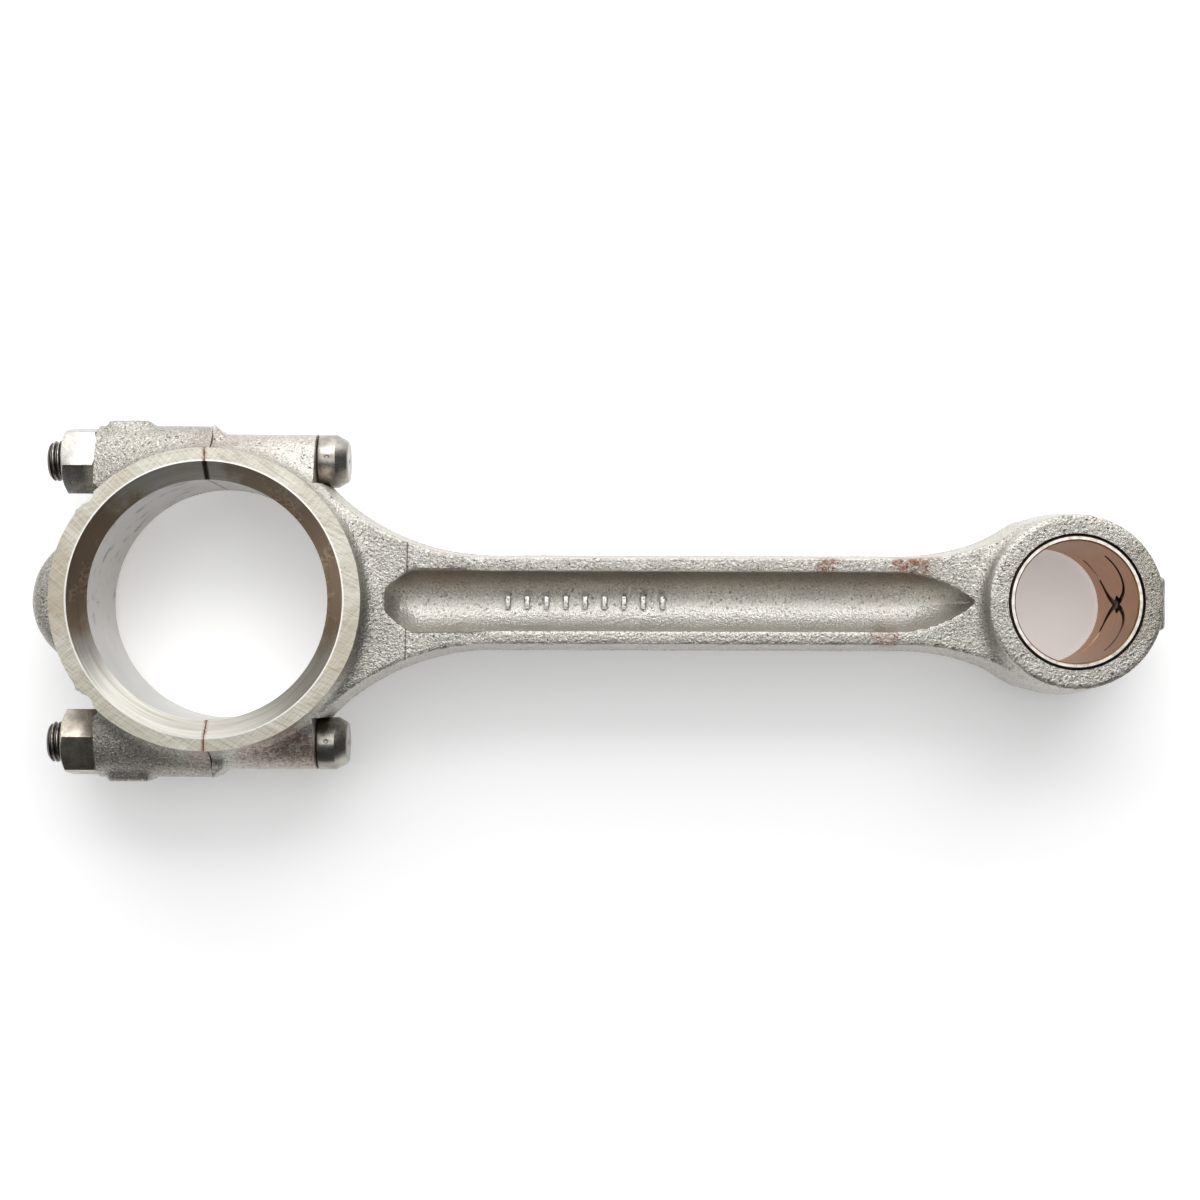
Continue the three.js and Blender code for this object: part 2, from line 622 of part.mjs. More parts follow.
const connectingRod = new THREE.Group();
connectingRod.add(
  piece('rod_body', rodBody(), steel('forged_rod', 0xa39c90, 0.5)),
  piece('big_end_cap', bigEndCap(), steel('forged_cap', 0x9d968a, 0.5)),
  piece('small_end_bush', smallEndBush(), steel('bronze_bush', 0xa8753f, 0.35)),
  piece('rod_bolt_upper', rodBolt(1), steel('bolt_upper', 0x6f6b64, 0.35)),
  piece('rod_bolt_lower', rodBolt(-1), steel('bolt_lower', 0x6f6b64, 0.35)),
  piece('rod_nut_upper', rodNut(1, NUT_TURN_UPPER), steel('nut_upper', 0x5d564e, 0.4)),
  piece('rod_nut_lower', rodNut(-1, -NUT_TURN_LOWER), steel('nut_lower', 0x5d564e, 0.4)),
);
const lengthMiddle = (CENTRES + OIL_PAD_REACH - CROWN_REACH) / 2;
connectingRod.position.set(-lengthMiddle, 0, HALF_WIDTH);

export default connectingRod;
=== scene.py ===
import json
import math

import bmesh
import bpy
import numpy as np
from mathutils import Matrix, Vector


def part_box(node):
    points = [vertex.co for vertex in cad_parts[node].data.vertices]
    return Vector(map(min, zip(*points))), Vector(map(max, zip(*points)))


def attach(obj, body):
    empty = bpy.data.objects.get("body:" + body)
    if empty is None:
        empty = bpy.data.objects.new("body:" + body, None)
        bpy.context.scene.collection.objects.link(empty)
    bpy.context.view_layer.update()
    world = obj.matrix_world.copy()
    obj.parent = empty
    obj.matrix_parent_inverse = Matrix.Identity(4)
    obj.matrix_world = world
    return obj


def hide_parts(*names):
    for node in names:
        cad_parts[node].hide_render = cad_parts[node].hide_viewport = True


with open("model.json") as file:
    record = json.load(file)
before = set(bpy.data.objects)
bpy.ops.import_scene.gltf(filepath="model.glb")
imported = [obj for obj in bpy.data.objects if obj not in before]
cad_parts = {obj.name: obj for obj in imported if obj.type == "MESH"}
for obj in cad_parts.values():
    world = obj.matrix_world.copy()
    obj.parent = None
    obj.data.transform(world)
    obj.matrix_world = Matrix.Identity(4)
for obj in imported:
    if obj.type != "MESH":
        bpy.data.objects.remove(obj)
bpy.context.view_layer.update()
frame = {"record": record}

# ---- Sizes ----
# The rod's own coordinates: millimetres, X from the crankpin axis towards the gudgeon pin, Y
# across, Z from the middle of the width. The two bores' openings in the record place them.

OPENINGS = {o["name"]: np.array(o["box_m"]) * 1000 for o in frame["record"]["physics"]["openings"]}
CRANKPIN = OPENINGS["big_end_bore"].mean(axis=0)
CENTRES = OPENINGS["small_end_bore"].mean(axis=0)[0] - CRANKPIN[0]


def span(node):
    """A node's lowest and highest corner, in the rod's own coordinates."""
    low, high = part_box(node)
    return np.array(low) * 1000 - CRANKPIN, np.array(high) * 1000 - CRANKPIN


_, BODY_HIGH = span("rod_body")
CAP_LOW, _ = span("big_end_cap")
_, BUSH_HIGH = span("small_end_bush")
BOLT_LOW, BOLT_HIGH = span("rod_bolt_upper")
NUT_LOW, _ = span("rod_nut_upper")

FIT_GAP = 0.12  # between two pieces that touch
FACE_TOLERANCE = 0.02

# How far cutting blocks reach: past a face, past both end faces, past a boss, past both sides
CUT, DEEP, FAR, WIDE = 20, 40, 60, 70

# Big end
HALF_WIDTH = BODY_HIGH[2]
BORE_R = 30.42
CHAMFER_R = 34.7
CHAMFER_DEPTH = 4.3
RING_R = 39.2
RING_FLATTENING = 0.973  # height across the rod as a share of the length along it
RING_DRAFT = 0.8
RING_SPARE = 1.2  # forged over the end faces and cut off
JOINT_FACE = 0.1  # from the crankpin axis to the joint faces of rod and cap

# Shank and small end
SHANK_ROOT_X = 14.0
SHANK_HALF = 12.1
SHANK_WIDEST = 29.6
FLANGE_HALF_HEIGHT = 13.65
SHANK_DRAFT = 1.1
BIG_FLARE_X = 72.0
BIG_FLARE_R = 60.0
SMALL_FLARE_R = 58.0
DIE_LINE = 0.28
DIE_LINE_HALF = 0.75
EYE_R = 22.0
EYE_DRAFT = 1.6
EYE_BORE_R = BUSH_HIGH[1] + FIT_GAP
OIL_HOLE_R = 2.0
OIL_COUNTERSINK_R = 3.4
OIL_PAD_HALF = 6.9
OIL_PAD_HALF_HEIGHT = 9.0

# Recess in the shank
RECESS_START = 44.6
RECESS_HALF = 7.6
RECESS_TIP_X = 174.0
RECESS_END = 194.9
RECESS_BLUNT_HALF = 2.9
RECESS_CORNER = (6.1, 4.75)  # length and width of the slant at the blunt end
RECESS_SWELL = (0.45, 55, 12)  # height, x and length of the bulge in its sides
WEB_HALF = 3.6
GUTTER_POWER = 2.25  # 2 would make the recess's section a half ellipse

# Scribed line across the shank: the corners' x on its low and high side, and its span in y
SCRIBE_LOW_X = (50.06, 50.22)
SCRIBE_HIGH_X = (50.42, 50.26)
SCRIBE_Y = 14
SCRIBE_HALF = 6

# Raised bars on the web
BAR_COUNT = 9
BAR_START = 75
BAR_SPACING = 5.0
BAR_WIDTH = 1.4
BAR_HALF_LENGTH = 1.7
BAR_HEIGHT = 1.3
BAR_BEVEL = 0.28

# Bolt bosses
BOLT_Y = 36.6
HOLE_R = 5.6
HEAD_SEAT = 26.3
BOSS_HALF_HEIGHT = 11.65
BOSS_ROOT_Y = 18.0
BOSS_CROWN_Y = 29.0  # where a boss's front surface starts to fall away
BOSS_POWER = 2.7
BOSS_SPARE = 4.0  # forged past a face and cut off
ROD_BOSS_Y = 43.5
SHOULDER = (2.1, 2.2, 3.04)  # rise, run and length of the slope from rod boss to cap boss
SHOULDER_HALF_HEIGHT = 8.5
CAP_BOSS_Y = 45.6
NUT_SEAT = -29.8
NOTCH = (-30.7, 26.9, 3.0)  # x, y and radius of the cutter's nick beside a nut seat
NOTCH_WEDGE = (-48.0, 19.0, 30.0)  # far x, low y and high y of what is cut away beside the nick
LOBE_X = (-27.5, -16.5)
LOBE_Y = 40
LOBE_HALF_HEIGHT = 6.5
CROWN_PAD_R = 17.4
CROWN_PAD_HALF_HEIGHT = 10.0
FORGED_EDGE = 0.8

# Bolts and nuts
PITCH = 1.27
THREAD_SIDES = 48
THREAD_ROUNDING = 0.02
THREAD_ROOT_R = 4.65
THREAD_END_X = -28.4
SHANK_TAPER_X = (-28.8, -27.4)  # where the shank narrows into the thread
BOLT_TURNS = 13
TAP_TURNS = 15
BOLT_R = 5.3
HEAD_R = 7.0
HEAD_FLAT = 6.6
HEAD_EDGE = 0.35
HEAD_TAPER = 3.1
POCKET_Y = BOLT_Y - HEAD_FLAT - 0.15
NUT_FLATS = 15.9
NUT_LEAD = 0.75
NUT_CREST_R = 4.85
NUT_ROOT_R = 5.55

# Bush
BUSH_BORE_R = 15.4
BUSH_WALL_R = 16.45  # where the outer chamfer starts
BUSH_LIP = 0.32
BUSH_LIP_DEPTH = 0.5
BUSH_CHAMFER = 1.1
BUSH_HOLE_R = 2.3
GROOVE_R = 0.85
GROOVE_TURN = 52
GROOVE_RISE = 10.8
GROOVE_BEND = 5.8  # how soon a groove turns from along the bore to round it
GROOVE_DROP = 1.0

# Fillets and rounded edges of the forgings
SHANK_FILLET = 4.0
EYE_FILLET = 3.0
PAD_FILLET = 1.5
ROD_BOSS_FILLET = 4.5
CAP_BOSS_FILLET = 5.0
CROWN_PAD_FILLET = 2.5
SHANK_EDGE = 0.6
RECESS_RIM = 0.5
PAD_EDGE = 1.5
CROWN_PAD_EDGE = 4.0

FORGING_STEP = 0.72  # grid spacing of the forged surfaces

# Flats round each turned body
OIL_SIDES, HOLE_SIDES, BOLT_SIDES, HEAD_SIDES, NUT_SIDES, EYE_SIDES, BORE_SIDES = (
    48, 72, 96, 128, 144, 192, 288)


# ---- Shape fields ----
# Each takes or gives a signed distance in millimetres, negative inside.

def smooth_join(a, b, radius):
    """Union with a fillet."""
    blend = np.clip(0.5 + 0.5 * (b - a) / radius, 0, 1)
    return b + (a - b) * blend - radius * blend * (1 - blend)


def smooth_meet(a, b, radius):
    """Intersection with a rounded edge."""
    return -smooth_join(-a, -b, radius)


def rounded_meet(a, b, radius):
    """Intersection with an edge of a true radius."""
    outside = np.hypot(np.maximum(a + radius, 0), np.maximum(b + radius, 0))
    return np.minimum(np.maximum(a, b) + radius, 0) + outside - radius


def slab(value, low, high):
    return np.maximum(low - value, value - high)


def superellipse(a, b, half_a, half_b, power):
    """Near a superellipse, the distance from it. a and b are shares of its half widths."""
    reach = np.maximum((a ** power + b ** power) ** (1 / power), 0.05)
    slope = np.hypot((a / reach) ** (power - 1) / half_a, (b / reach) ** (power - 1) / half_b)
    return (reach - 1) / np.maximum(slope, 0.02)


def unevenness(x, y, z):
    """Slow waviness of a forged skin, about a tenth of a millimetre."""
    first = np.sin(0.31 * x + 1.3 * np.sin(0.23 * y)) * np.sin(0.37 * y + 0.29 * z + 0.7)
    second = np.sin(0.83 * x + 0.71 * z) * np.sin(0.91 * y - 0.47 * x + 2.1)
    return 0.04 * first + 0.025 * second


def ring_field(x, y, z):
    radius = RING_R + RING_DRAFT * (1 - np.abs(z) / HALF_WIDTH)
    around = np.hypot(x, y / RING_FLATTENING) - radius
    return rounded_meet(around, np.abs(z) - HALF_WIDTH - RING_SPARE, FORGED_EDGE)


def shank_field(x, y, z):
    side = np.abs(y)
    small_flare_y = SHANK_HALF + SMALL_FLARE_R
    reach = SMALL_FLARE_R + EYE_R + EYE_DRAFT
    small_flare_x = CENTRES - math.sqrt(reach ** 2 - small_flare_y ** 2)
    plan = side - SHANK_HALF
    big = BIG_FLARE_R - np.hypot(x - BIG_FLARE_X, side - SHANK_HALF - BIG_FLARE_R)
    small = SMALL_FLARE_R - np.hypot(x - small_flare_x, side - small_flare_y)
    plan = np.where(x < BIG_FLARE_X, big, np.where(x > small_flare_x, small, plan))
    at_eye = small_flare_y * (EYE_R + EYE_DRAFT) / reach
    widest = np.where(x < 0.5 * CENTRES, SHANK_WIDEST, at_eye)
    plan = np.maximum(plan, np.maximum(slab(x, SHANK_ROOT_X, CENTRES), side - widest))
    plan = plan + SHANK_DRAFT * np.abs(z) / FLANGE_HALF_HEIGHT
    die_line = DIE_LINE * np.exp(-(z / DIE_LINE_HALF) ** 2)
    return rounded_meet(plan - die_line, np.abs(z) - FLANGE_HALF_HEIGHT, SHANK_EDGE)


def recess_field(x, y, z):
    """A gutter with a slanted blunt end towards the crankpin and a pointed one at the eye."""
    side = np.abs(y)
    length, width = RECESS_CORNER
    corner = length * (RECESS_BLUNT_HALF - side) - width * (RECESS_START - x)
    corner = corner / -math.hypot(length, width)
    height, middle, reach = RECESS_SWELL
    swell = height * np.exp(-((x - middle) / reach) ** 2)
    plan = smooth_meet(side - RECESS_HALF - swell, RECESS_START - x, 1.5)
    plan = smooth_meet(plan, corner, 1.3)
    length = RECESS_END - RECESS_TIP_X
    ogive_r = (length ** 2 + RECESS_HALF ** 2) / (2 * RECESS_HALF)
    ogive = np.hypot(np.maximum(x - RECESS_TIP_X, 0), side + ogive_r - RECESS_HALF) - ogive_r
    plan = np.where(x > RECESS_TIP_X, ogive, plan)
    depth = FLANGE_HALF_HEIGHT - WEB_HALF
    aside = np.maximum(1 + plan / RECESS_HALF, 0)
    down = np.maximum(FLANGE_HALF_HEIGHT - np.abs(z), 0) / depth
    return superellipse(aside, down, RECESS_HALF, depth, GUTTER_POWER)


def boss_field(x, y, z, low, high, top):
    """A bolt boss on both sides of the rod, from its buried root out to a crowned top."""
    out = np.maximum(np.abs(y) - BOSS_CROWN_Y, 0) / (top - BOSS_CROWN_Y)
    up = np.abs(z) / BOSS_HALF_HEIGHT
    section = superellipse(out, up, top - BOSS_CROWN_Y, BOSS_HALF_HEIGHT, BOSS_POWER)
    section = np.maximum(section, BOSS_ROOT_Y - np.abs(y))
    return rounded_meet(slab(x, low, high), section, FORGED_EDGE)


def rod_field(x, y, z):
    side = np.abs(y)
    body = smooth_join(ring_field(x, y, z), shank_field(x, y, z), SHANK_FILLET)
    radius = EYE_R + EYE_DRAFT * (1 - np.abs(z) / HALF_WIDTH)
    eye = rounded_meet(np.hypot(x - CENTRES, y) - radius, np.abs(z) - HALF_WIDTH, FORGED_EDGE)
    body = smooth_join(body, eye, EYE_FILLET)
    pad = rounded_meet(slab(x, CENTRES, BODY_HIGH[0]), side - OIL_PAD_HALF, 1.2)
    pad = rounded_meet(pad, np.abs(z) - OIL_PAD_HALF_HEIGHT, PAD_EDGE)
    body = smooth_join(body, pad, PAD_FILLET)
    boss = boss_field(x, y, z, -BOSS_SPARE, HEAD_SEAT + 0.6, ROD_BOSS_Y)
    body = smooth_join(body, boss, ROD_BOSS_FILLET)
    rise, run, length = SHOULDER
    slope = (x * rise + (side - CAP_BOSS_Y) * run) / length
    slope = np.maximum(slope, slab(x, -BOSS_SPARE, 3.0))
    slope = np.maximum(slope, slab(side, ROD_BOSS_Y - 3, CAP_BOSS_Y))
    slope = rounded_meet(slope, np.abs(z) - SHOULDER_HALF_HEIGHT, FORGED_EDGE)
    body = smooth_join(body, slope, 1.0)
    body = smooth_meet(body, -recess_field(x, y, z), RECESS_RIM)
    return body + unevenness(x, y, z)


def cap_field(x, y, z):
    side = np.abs(y)
    body = ring_field(x, y, z)
    boss = boss_field(x, y, z, NUT_SEAT - BOSS_SPARE, BOSS_SPARE, CAP_BOSS_Y)
    lobe = rounded_meet(slab(x, *LOBE_X), slab(side, LOBE_Y, CAP_BOSS_Y + 1), 1.0)
    lobe = rounded_meet(lobe, np.abs(z) - LOBE_HALF_HEIGHT, PAD_EDGE)
    boss = smooth_join(boss, lobe, PAD_FILLET)
    body = smooth_join(body, boss, CAP_BOSS_FILLET)
    pad = np.hypot(x - CAP_LOW[0] - CROWN_PAD_R, y) - CROWN_PAD_R
    pad = rounded_meet(pad, np.abs(z) - CROWN_PAD_HALF_HEIGHT, CROWN_PAD_EDGE)
    body = smooth_join(body, pad, CROWN_PAD_FILLET)
    return body + unevenness(x + 40, y, z)


# ---- Meshes ----

def untangle(value, step):
    """Clears the cell sides whose corners differ in sign crosswise and would pinch a surface."""
    for _ in range(6):
        tangled = 0
        for axis in range(3):
            b, c = [a for a in range(3) if a != axis]
            corners = []
            for shift_b, shift_c in ((0, 0), (1, 1), (0, 1), (1, 0)):
                window = [slice(None)] * 3
                window[b] = slice(shift_b, value.shape[b] - 1 + shift_b)
                window[c] = slice(shift_c, value.shape[c] - 1 + shift_c)
                corners.append(tuple(window))
            signs = [value[w] < 0 for w in corners]
            cross = (signs[0] == signs[1]) & (signs[2] == signs[3]) & (signs[0] != signs[2])
            tangled += int(cross.sum())
            value[corners[0]][cross & signs[0]] = 0.02 * step
            value[corners[2]][cross & signs[2]] = 0.02 * step
        if not tangled:
            return


def settle(field, vertices, step):
    """Moves a net's vertices onto the field's zero surface."""
    probe = 0.05
    for _ in range(2):
        x, y, z = vertices.T
        value = field(x, y, z)
        ahead = [field(x + probe, y, z), field(x, y + probe, z), field(x, y, z + probe)]
        slope = (np.stack(ahead, 1) - value[:, None]) / probe
        move = -value[:, None] * slope / np.maximum((slope ** 2).sum(axis=1), 0.1)[:, None]
        length = np.maximum(np.linalg.norm(move, axis=1), 1e-9)
        move *= (np.minimum(length, 0.3 * step) / length)[:, None]
        move[np.abs(value) > 0.6 * step] = 0
        vertices = vertices + move
    return vertices


def surface_net(field, low, high, step):
    """Vertices and quads of a field's zero surface: one vertex in each grid cell it crosses."""
    counts = [int(math.ceil((b - a) / step)) + 1 for a, b in zip(low, high)]
    axes = [a + step * np.arange(n, dtype=np.float32) for a, n in zip(low, counts)]
    grid = np.meshgrid(*axes, indexing="ij")
    value = field(*grid).astype(np.float32)
    for axis in range(3):
        for end in (0, -1):
            side = [slice(None)] * 3
            side[axis] = end
            value[tuple(side)] = np.maximum(value[tuple(side)], 0.2 * step)
    untangle(value, step)
    inside = value < 0
    cells = tuple(n - 1 for n in counts)
    total = np.zeros(cells + (3,), np.float32)
    hits = np.zeros(cells, np.int32)
    crossings = []
    for axis in range(3):
        first = [slice(None)] * 3
        second = [slice(None)] * 3
        first[axis], second[axis] = slice(None, -1), slice(1, None)
        first, second = tuple(first), tuple(second)
        crossed = inside[first] != inside[second]
        crossings.append((crossed, inside[first]))
        gap = value[first] - value[second]
        share = np.where(crossed, value[first] / np.where(gap == 0, 1, gap), 0)
        others = [a for a in range(3) if a != axis]
        for offset in ((0, 0), (0, 1), (1, 0), (1, 1)):
            window = [slice(None)] * 3
            for a, shift in zip(others, offset):
                window[a] = slice(shift, shift + cells[a])
            window = tuple(window)
            seen = crossed[window]
            hits += seen
            total[..., axis] += share[window] * seen
            for a, shift in zip(others, offset):
                total[..., a] += shift * seen
    active = hits > 0
    number = np.cumsum(active.ravel()).reshape(cells) - 1
    place = total[active] / hits[active][:, None]
    corner = np.argwhere(active)
    vertices = settle(field, np.array(low) + step * (corner + place), step)
    quads = []
    for axis, (crossed, from_inside) in enumerate(crossings):
        others = [a for a in range(3) if a != axis]
        window = [slice(None)] * 3
        for a in others:
            window[a] = slice(1, cells[a])
        here = np.argwhere(crossed[tuple(window)])
        outward = from_inside[tuple(window)][tuple(here.T)]
        for a in others:
            here[:, a] += 1
        b, c = others
        ring = []
        for back_b, back_c in ((1, 1), (0, 1), (0, 0), (1, 0)):
            cell = here.copy()
            cell[:, b] -= back_b
            cell[:, c] -= back_c
            ring.append(number[tuple(cell.T)])
        quad = np.stack(ring, axis=1)
        flip = outward if axis == 1 else ~outward
        quad[flip] = quad[flip][:, ::-1]
        quads.append(quad)
    return vertices, np.concatenate(quads)


def mesh_object(name, vertices, faces):
    """A new object from points in the rod's own coordinates."""
    mesh = bpy.data.meshes.new(name)
    mesh.from_pydata([tuple(v) for v in (np.asarray(vertices) + CRANKPIN) / 1000], [],
                     [tuple(int(i) for i in f) for f in faces])
    mesh.validate()
    piece = bpy.data.objects.new(name, mesh)
    bpy.context.scene.collection.objects.link(piece)
    return piece


def lathe(name, profile, segments, axis="Z", centre=(0, 0, 0), hollow=False):
    """A body of revolution from (radius, height) pairs, with flat ends, or hollow from a loop."""
    angles = np.arange(segments) * 2 * math.pi / segments
    rows = len(profile)
    points = np.array([(r * math.cos(a), r * math.sin(a), h) for r, h in profile for a in angles])
    faces = []
    for row in range(rows if hollow else rows - 1):
        here, above = row * segments, (row + 1) % rows * segments
        for k in range(segments):
            after = (k + 1) % segments
            faces.append((here + k, here + after, above + after, above + k))
    if not hollow:
        faces.append(tuple(reversed(range(segments))))
        faces.append(tuple(range((rows - 1) * segments, rows * segments)))
    if axis == "X":
        points = points[:, [2, 0, 1]]
    return mesh_object(name, points + np.array(centre), faces)


def prism(name, outline, low, high):
    """A straight-sided body from an anticlockwise outline in X and Y."""
    n = len(outline)
    points = [(x, y, z) for z in (low, high) for x, y in outline]
    faces = [tuple(reversed(range(n))), tuple(range(n, 2 * n))]
    faces += [(k, (k + 1) % n, n + (k + 1) % n, n + k) for k in range(n)]
    return mesh_object(name, points, faces)


def block(name, x, y, z):
    return prism(name, [(x[0], y[0]), (x[1], y[0]), (x[1], y[1]), (x[0], y[1])], z[0], z[1])


def orient(piece):
    """Merges doubled vertices and turns every face outward."""
    work = bmesh.new()
    work.from_mesh(piece.data)
    bmesh.ops.remove_doubles(work, verts=work.verts, dist=1e-7)
    bmesh.ops.recalc_face_normals(work, faces=work.faces)
    work.to_mesh(piece.data)
    work.free()


def combine(piece, tools, operation="DIFFERENCE"):
    """Cuts or joins each tool with the piece, and deletes the tools."""
    for tool in tools:
        step = piece.modifiers.new("step", "BOOLEAN")
        step.operation = operation
        step.solver = "MANIFOLD"
        step.object = tool
        apply_modifiers(piece)
        bpy.data.objects.remove(tool)
    return piece


def apply_modifiers(piece):
    seen = piece.evaluated_get(bpy.context.evaluated_depsgraph_get())
    made = bpy.data.meshes.new_from_object(seen)
    piece.modifiers.clear()
    old = piece.data
    piece.data = made
    bpy.data.meshes.remove(old)


def bevel_edges(piece, width, angle=30, segments=2):
    """Breaks the sharp edges of a machined piece. The width is in millimetres."""
    bevel = piece.modifiers.new("bevel", "BEVEL")
    bevel.width = width / 1000
    bevel.segments = segments
    bevel.limit_method = "ANGLE"
    bevel.angle_limit = math.radians(angle)
    apply_modifiers(piece)


def shade(piece, angle=32):
    """Smooth shading, with edges kept sharp beyond an angle in degrees."""
    mesh = piece.data
    mesh.polygons.foreach_set("use_smooth", [True] * len(mesh.polygons))
    mesh.set_sharp_from_angle(angle=math.radians(angle))


def face_table(piece):
    """Centres in the rod's own coordinates, and normals, of all faces."""
    mesh = piece.data
    centre = np.zeros(len(mesh.polygons) * 3, np.float32)
    normal = np.zeros(len(mesh.polygons) * 3, np.float32)
    mesh.polygons.foreach_get("center", centre)
    mesh.polygons.foreach_get("normal", normal)
    return centre.reshape(-1, 3) * 1000 - CRANKPIN, normal.reshape(-1, 3)


def dress(piece, materials, chosen=None):
    """Gives a piece its materials. chosen holds each face's material number."""
    piece.data.materials.clear()
    for material in materials:
        piece.data.materials.append(material)
    if chosen is not None:
        piece.data.polygons.foreach_set("material_index", chosen.astype(np.int32))
    piece.data.update()


def keep(piece, body, slot, *nodes):
    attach(piece, body)
    if nodes:
        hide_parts(*nodes)


# ---- Materials ----

class Shader:
    """A short way to write a node material around one Principled shader."""

    def __init__(self, name, metallic=1.0, roughness=0.5):
        self.material = bpy.data.materials.new(name)
        self.material.use_nodes = True
        self.tree = self.material.node_tree
        self.surface = next(n for n in self.tree.nodes if n.type == "BSDF_PRINCIPLED")
        self.surface.inputs["Metallic"].default_value = metallic
        self.surface.inputs["Roughness"].default_value = roughness
        source = self.tree.nodes.new("ShaderNodeTexCoord").outputs["Object"]
        scaled = self.vector("MULTIPLY", source, (1000, 1000, 1000))
        self.place = self.vector("SUBTRACT", scaled, tuple(CRANKPIN))
        split = self.tree.nodes.new("ShaderNodeSeparateXYZ")
        self.tree.links.new(self.place, split.inputs[0])
        self.x, self.y, self.z = split.outputs

    def set(self, socket, value):
        if isinstance(value, (int, float)):
            socket.default_value = value
        elif isinstance(value, tuple):
            short = len(value) < len(socket.default_value)
            socket.default_value = (*value, 1) if short else value
        else:
            self.tree.links.new(value, socket)

    def math(self, operation, a, b=0.0):
        node = self.tree.nodes.new("ShaderNodeMath")
        node.operation = operation
        self.set(node.inputs[0], a)
        self.set(node.inputs[1], b)
        return node.outputs[0]

    def plus(self, a, b):
        return self.math("ADD", a, b)

    def minus(self, a, b):
        return self.math("SUBTRACT", a, b)

    def size(self, a):
        return self.math("ABSOLUTE", a)

    def vector(self, operation, a, b):
        node = self.tree.nodes.new("ShaderNodeVectorMath")
        node.operation = operation
        self.set(node.inputs[0], a)
        self.set(node.inputs[1], b)
        return node.outputs[0]

    def combine(self, x, y, z):
        node = self.tree.nodes.new("ShaderNodeCombineXYZ")
        for socket, value in zip(node.inputs, (x, y, z)):
            self.set(socket, value)
        return node.outputs[0]

    def noise(self, size, detail=3.0, roughness=0.5, at=None):
        """Noise from 0 to 1 whose blobs are about size millimetres across."""
        node = self.tree.nodes.new("ShaderNodeTexNoise")
        self.set(node.inputs["Vector"], self.place if at is None else at)
        node.inputs["Scale"].default_value = 1.0 / size
        node.inputs["Detail"].default_value = detail
        node.inputs["Roughness"].default_value = roughness
        return node.outputs["Fac"]

    def step(self, value, low, high):
        """0 below low, 1 above high, and smooth between."""
        node = self.tree.nodes.new("ShaderNodeMapRange")
        node.interpolation_type = "SMOOTHSTEP"
        self.set(node.inputs["Value"], value)
        node.inputs["From Min"].default_value = low
        node.inputs["From Max"].default_value = high
        return node.outputs["Result"]

    def times(self, *values):
        result = values[0]
        for value in values[1:]:
            result = self.math("MULTIPLY", result, value)
        return result

    def length(self, a, b):
        return self.math("SQRT", self.plus(self.times(a, a), self.times(b, b)))

    def mix(self, share, a, b):
        """Colour a where share is 0, and b where it is 1."""
        node = self.tree.nodes.new("ShaderNodeMix")
        node.data_type = "RGBA"
        self.set(node.inputs[0], share)
        self.set(node.inputs[6], a)
        self.set(node.inputs[7], b)
        return node.outputs[2]

    def spot(self, x, y, reach, ragged=0.6):
        """1 near a point seen along Z, with a ragged edge, and 0 beyond reach millimetres."""
        distance = self.length(self.minus(self.x, x), self.minus(self.y, y))
        wobble = self.minus(self.noise(reach * 0.5, 4), 0.5)
        wobble = self.times(wobble, 2.4 * reach * ragged)
        return self.minus(1.0, self.step(self.plus(distance, wobble), reach * 0.55, reach))

    def finish(self, colour, roughness=None, height=None, relief=0.1):
        """Links the shader. height is in units of relief millimetres."""
        self.set(self.surface.inputs["Base Color"], colour)
        if roughness is not None:
            self.set(self.surface.inputs["Roughness"], roughness)
        if height is not None:
            bump = self.tree.nodes.new("ShaderNodeBump")
            bump.inputs["Strength"].default_value = 1.0
            bump.inputs["Distance"].default_value = relief / 1000
            self.set(bump.inputs["Height"], height)
            self.tree.links.new(bump.outputs[0], self.surface.inputs["Normal"])
        return self.material


def polar(shader, centre_x=0.0):
    """Radius and angle about a bore's axis."""
    x = shader.minus(shader.x, centre_x)
    return shader.length(x, shader.y), shader.math("ARCTAN2", shader.y, x)


def rusty(shader, colour, share):
    """Lays thin orange-brown rust over a colour, in specks."""
    grain = shader.noise(0.5, 4, 0.7)
    rust = shader.mix(grain, (0.34, 0.13, 0.065), (0.12, 0.045, 0.022))
    speck = shader.step(shader.noise(1.1, 4, 0.7), 0.40, 0.56)
    thin = shader.math("MAXIMUM", speck, 0.25)
    return shader.mix(shader.times(share, thin), colour, rust)


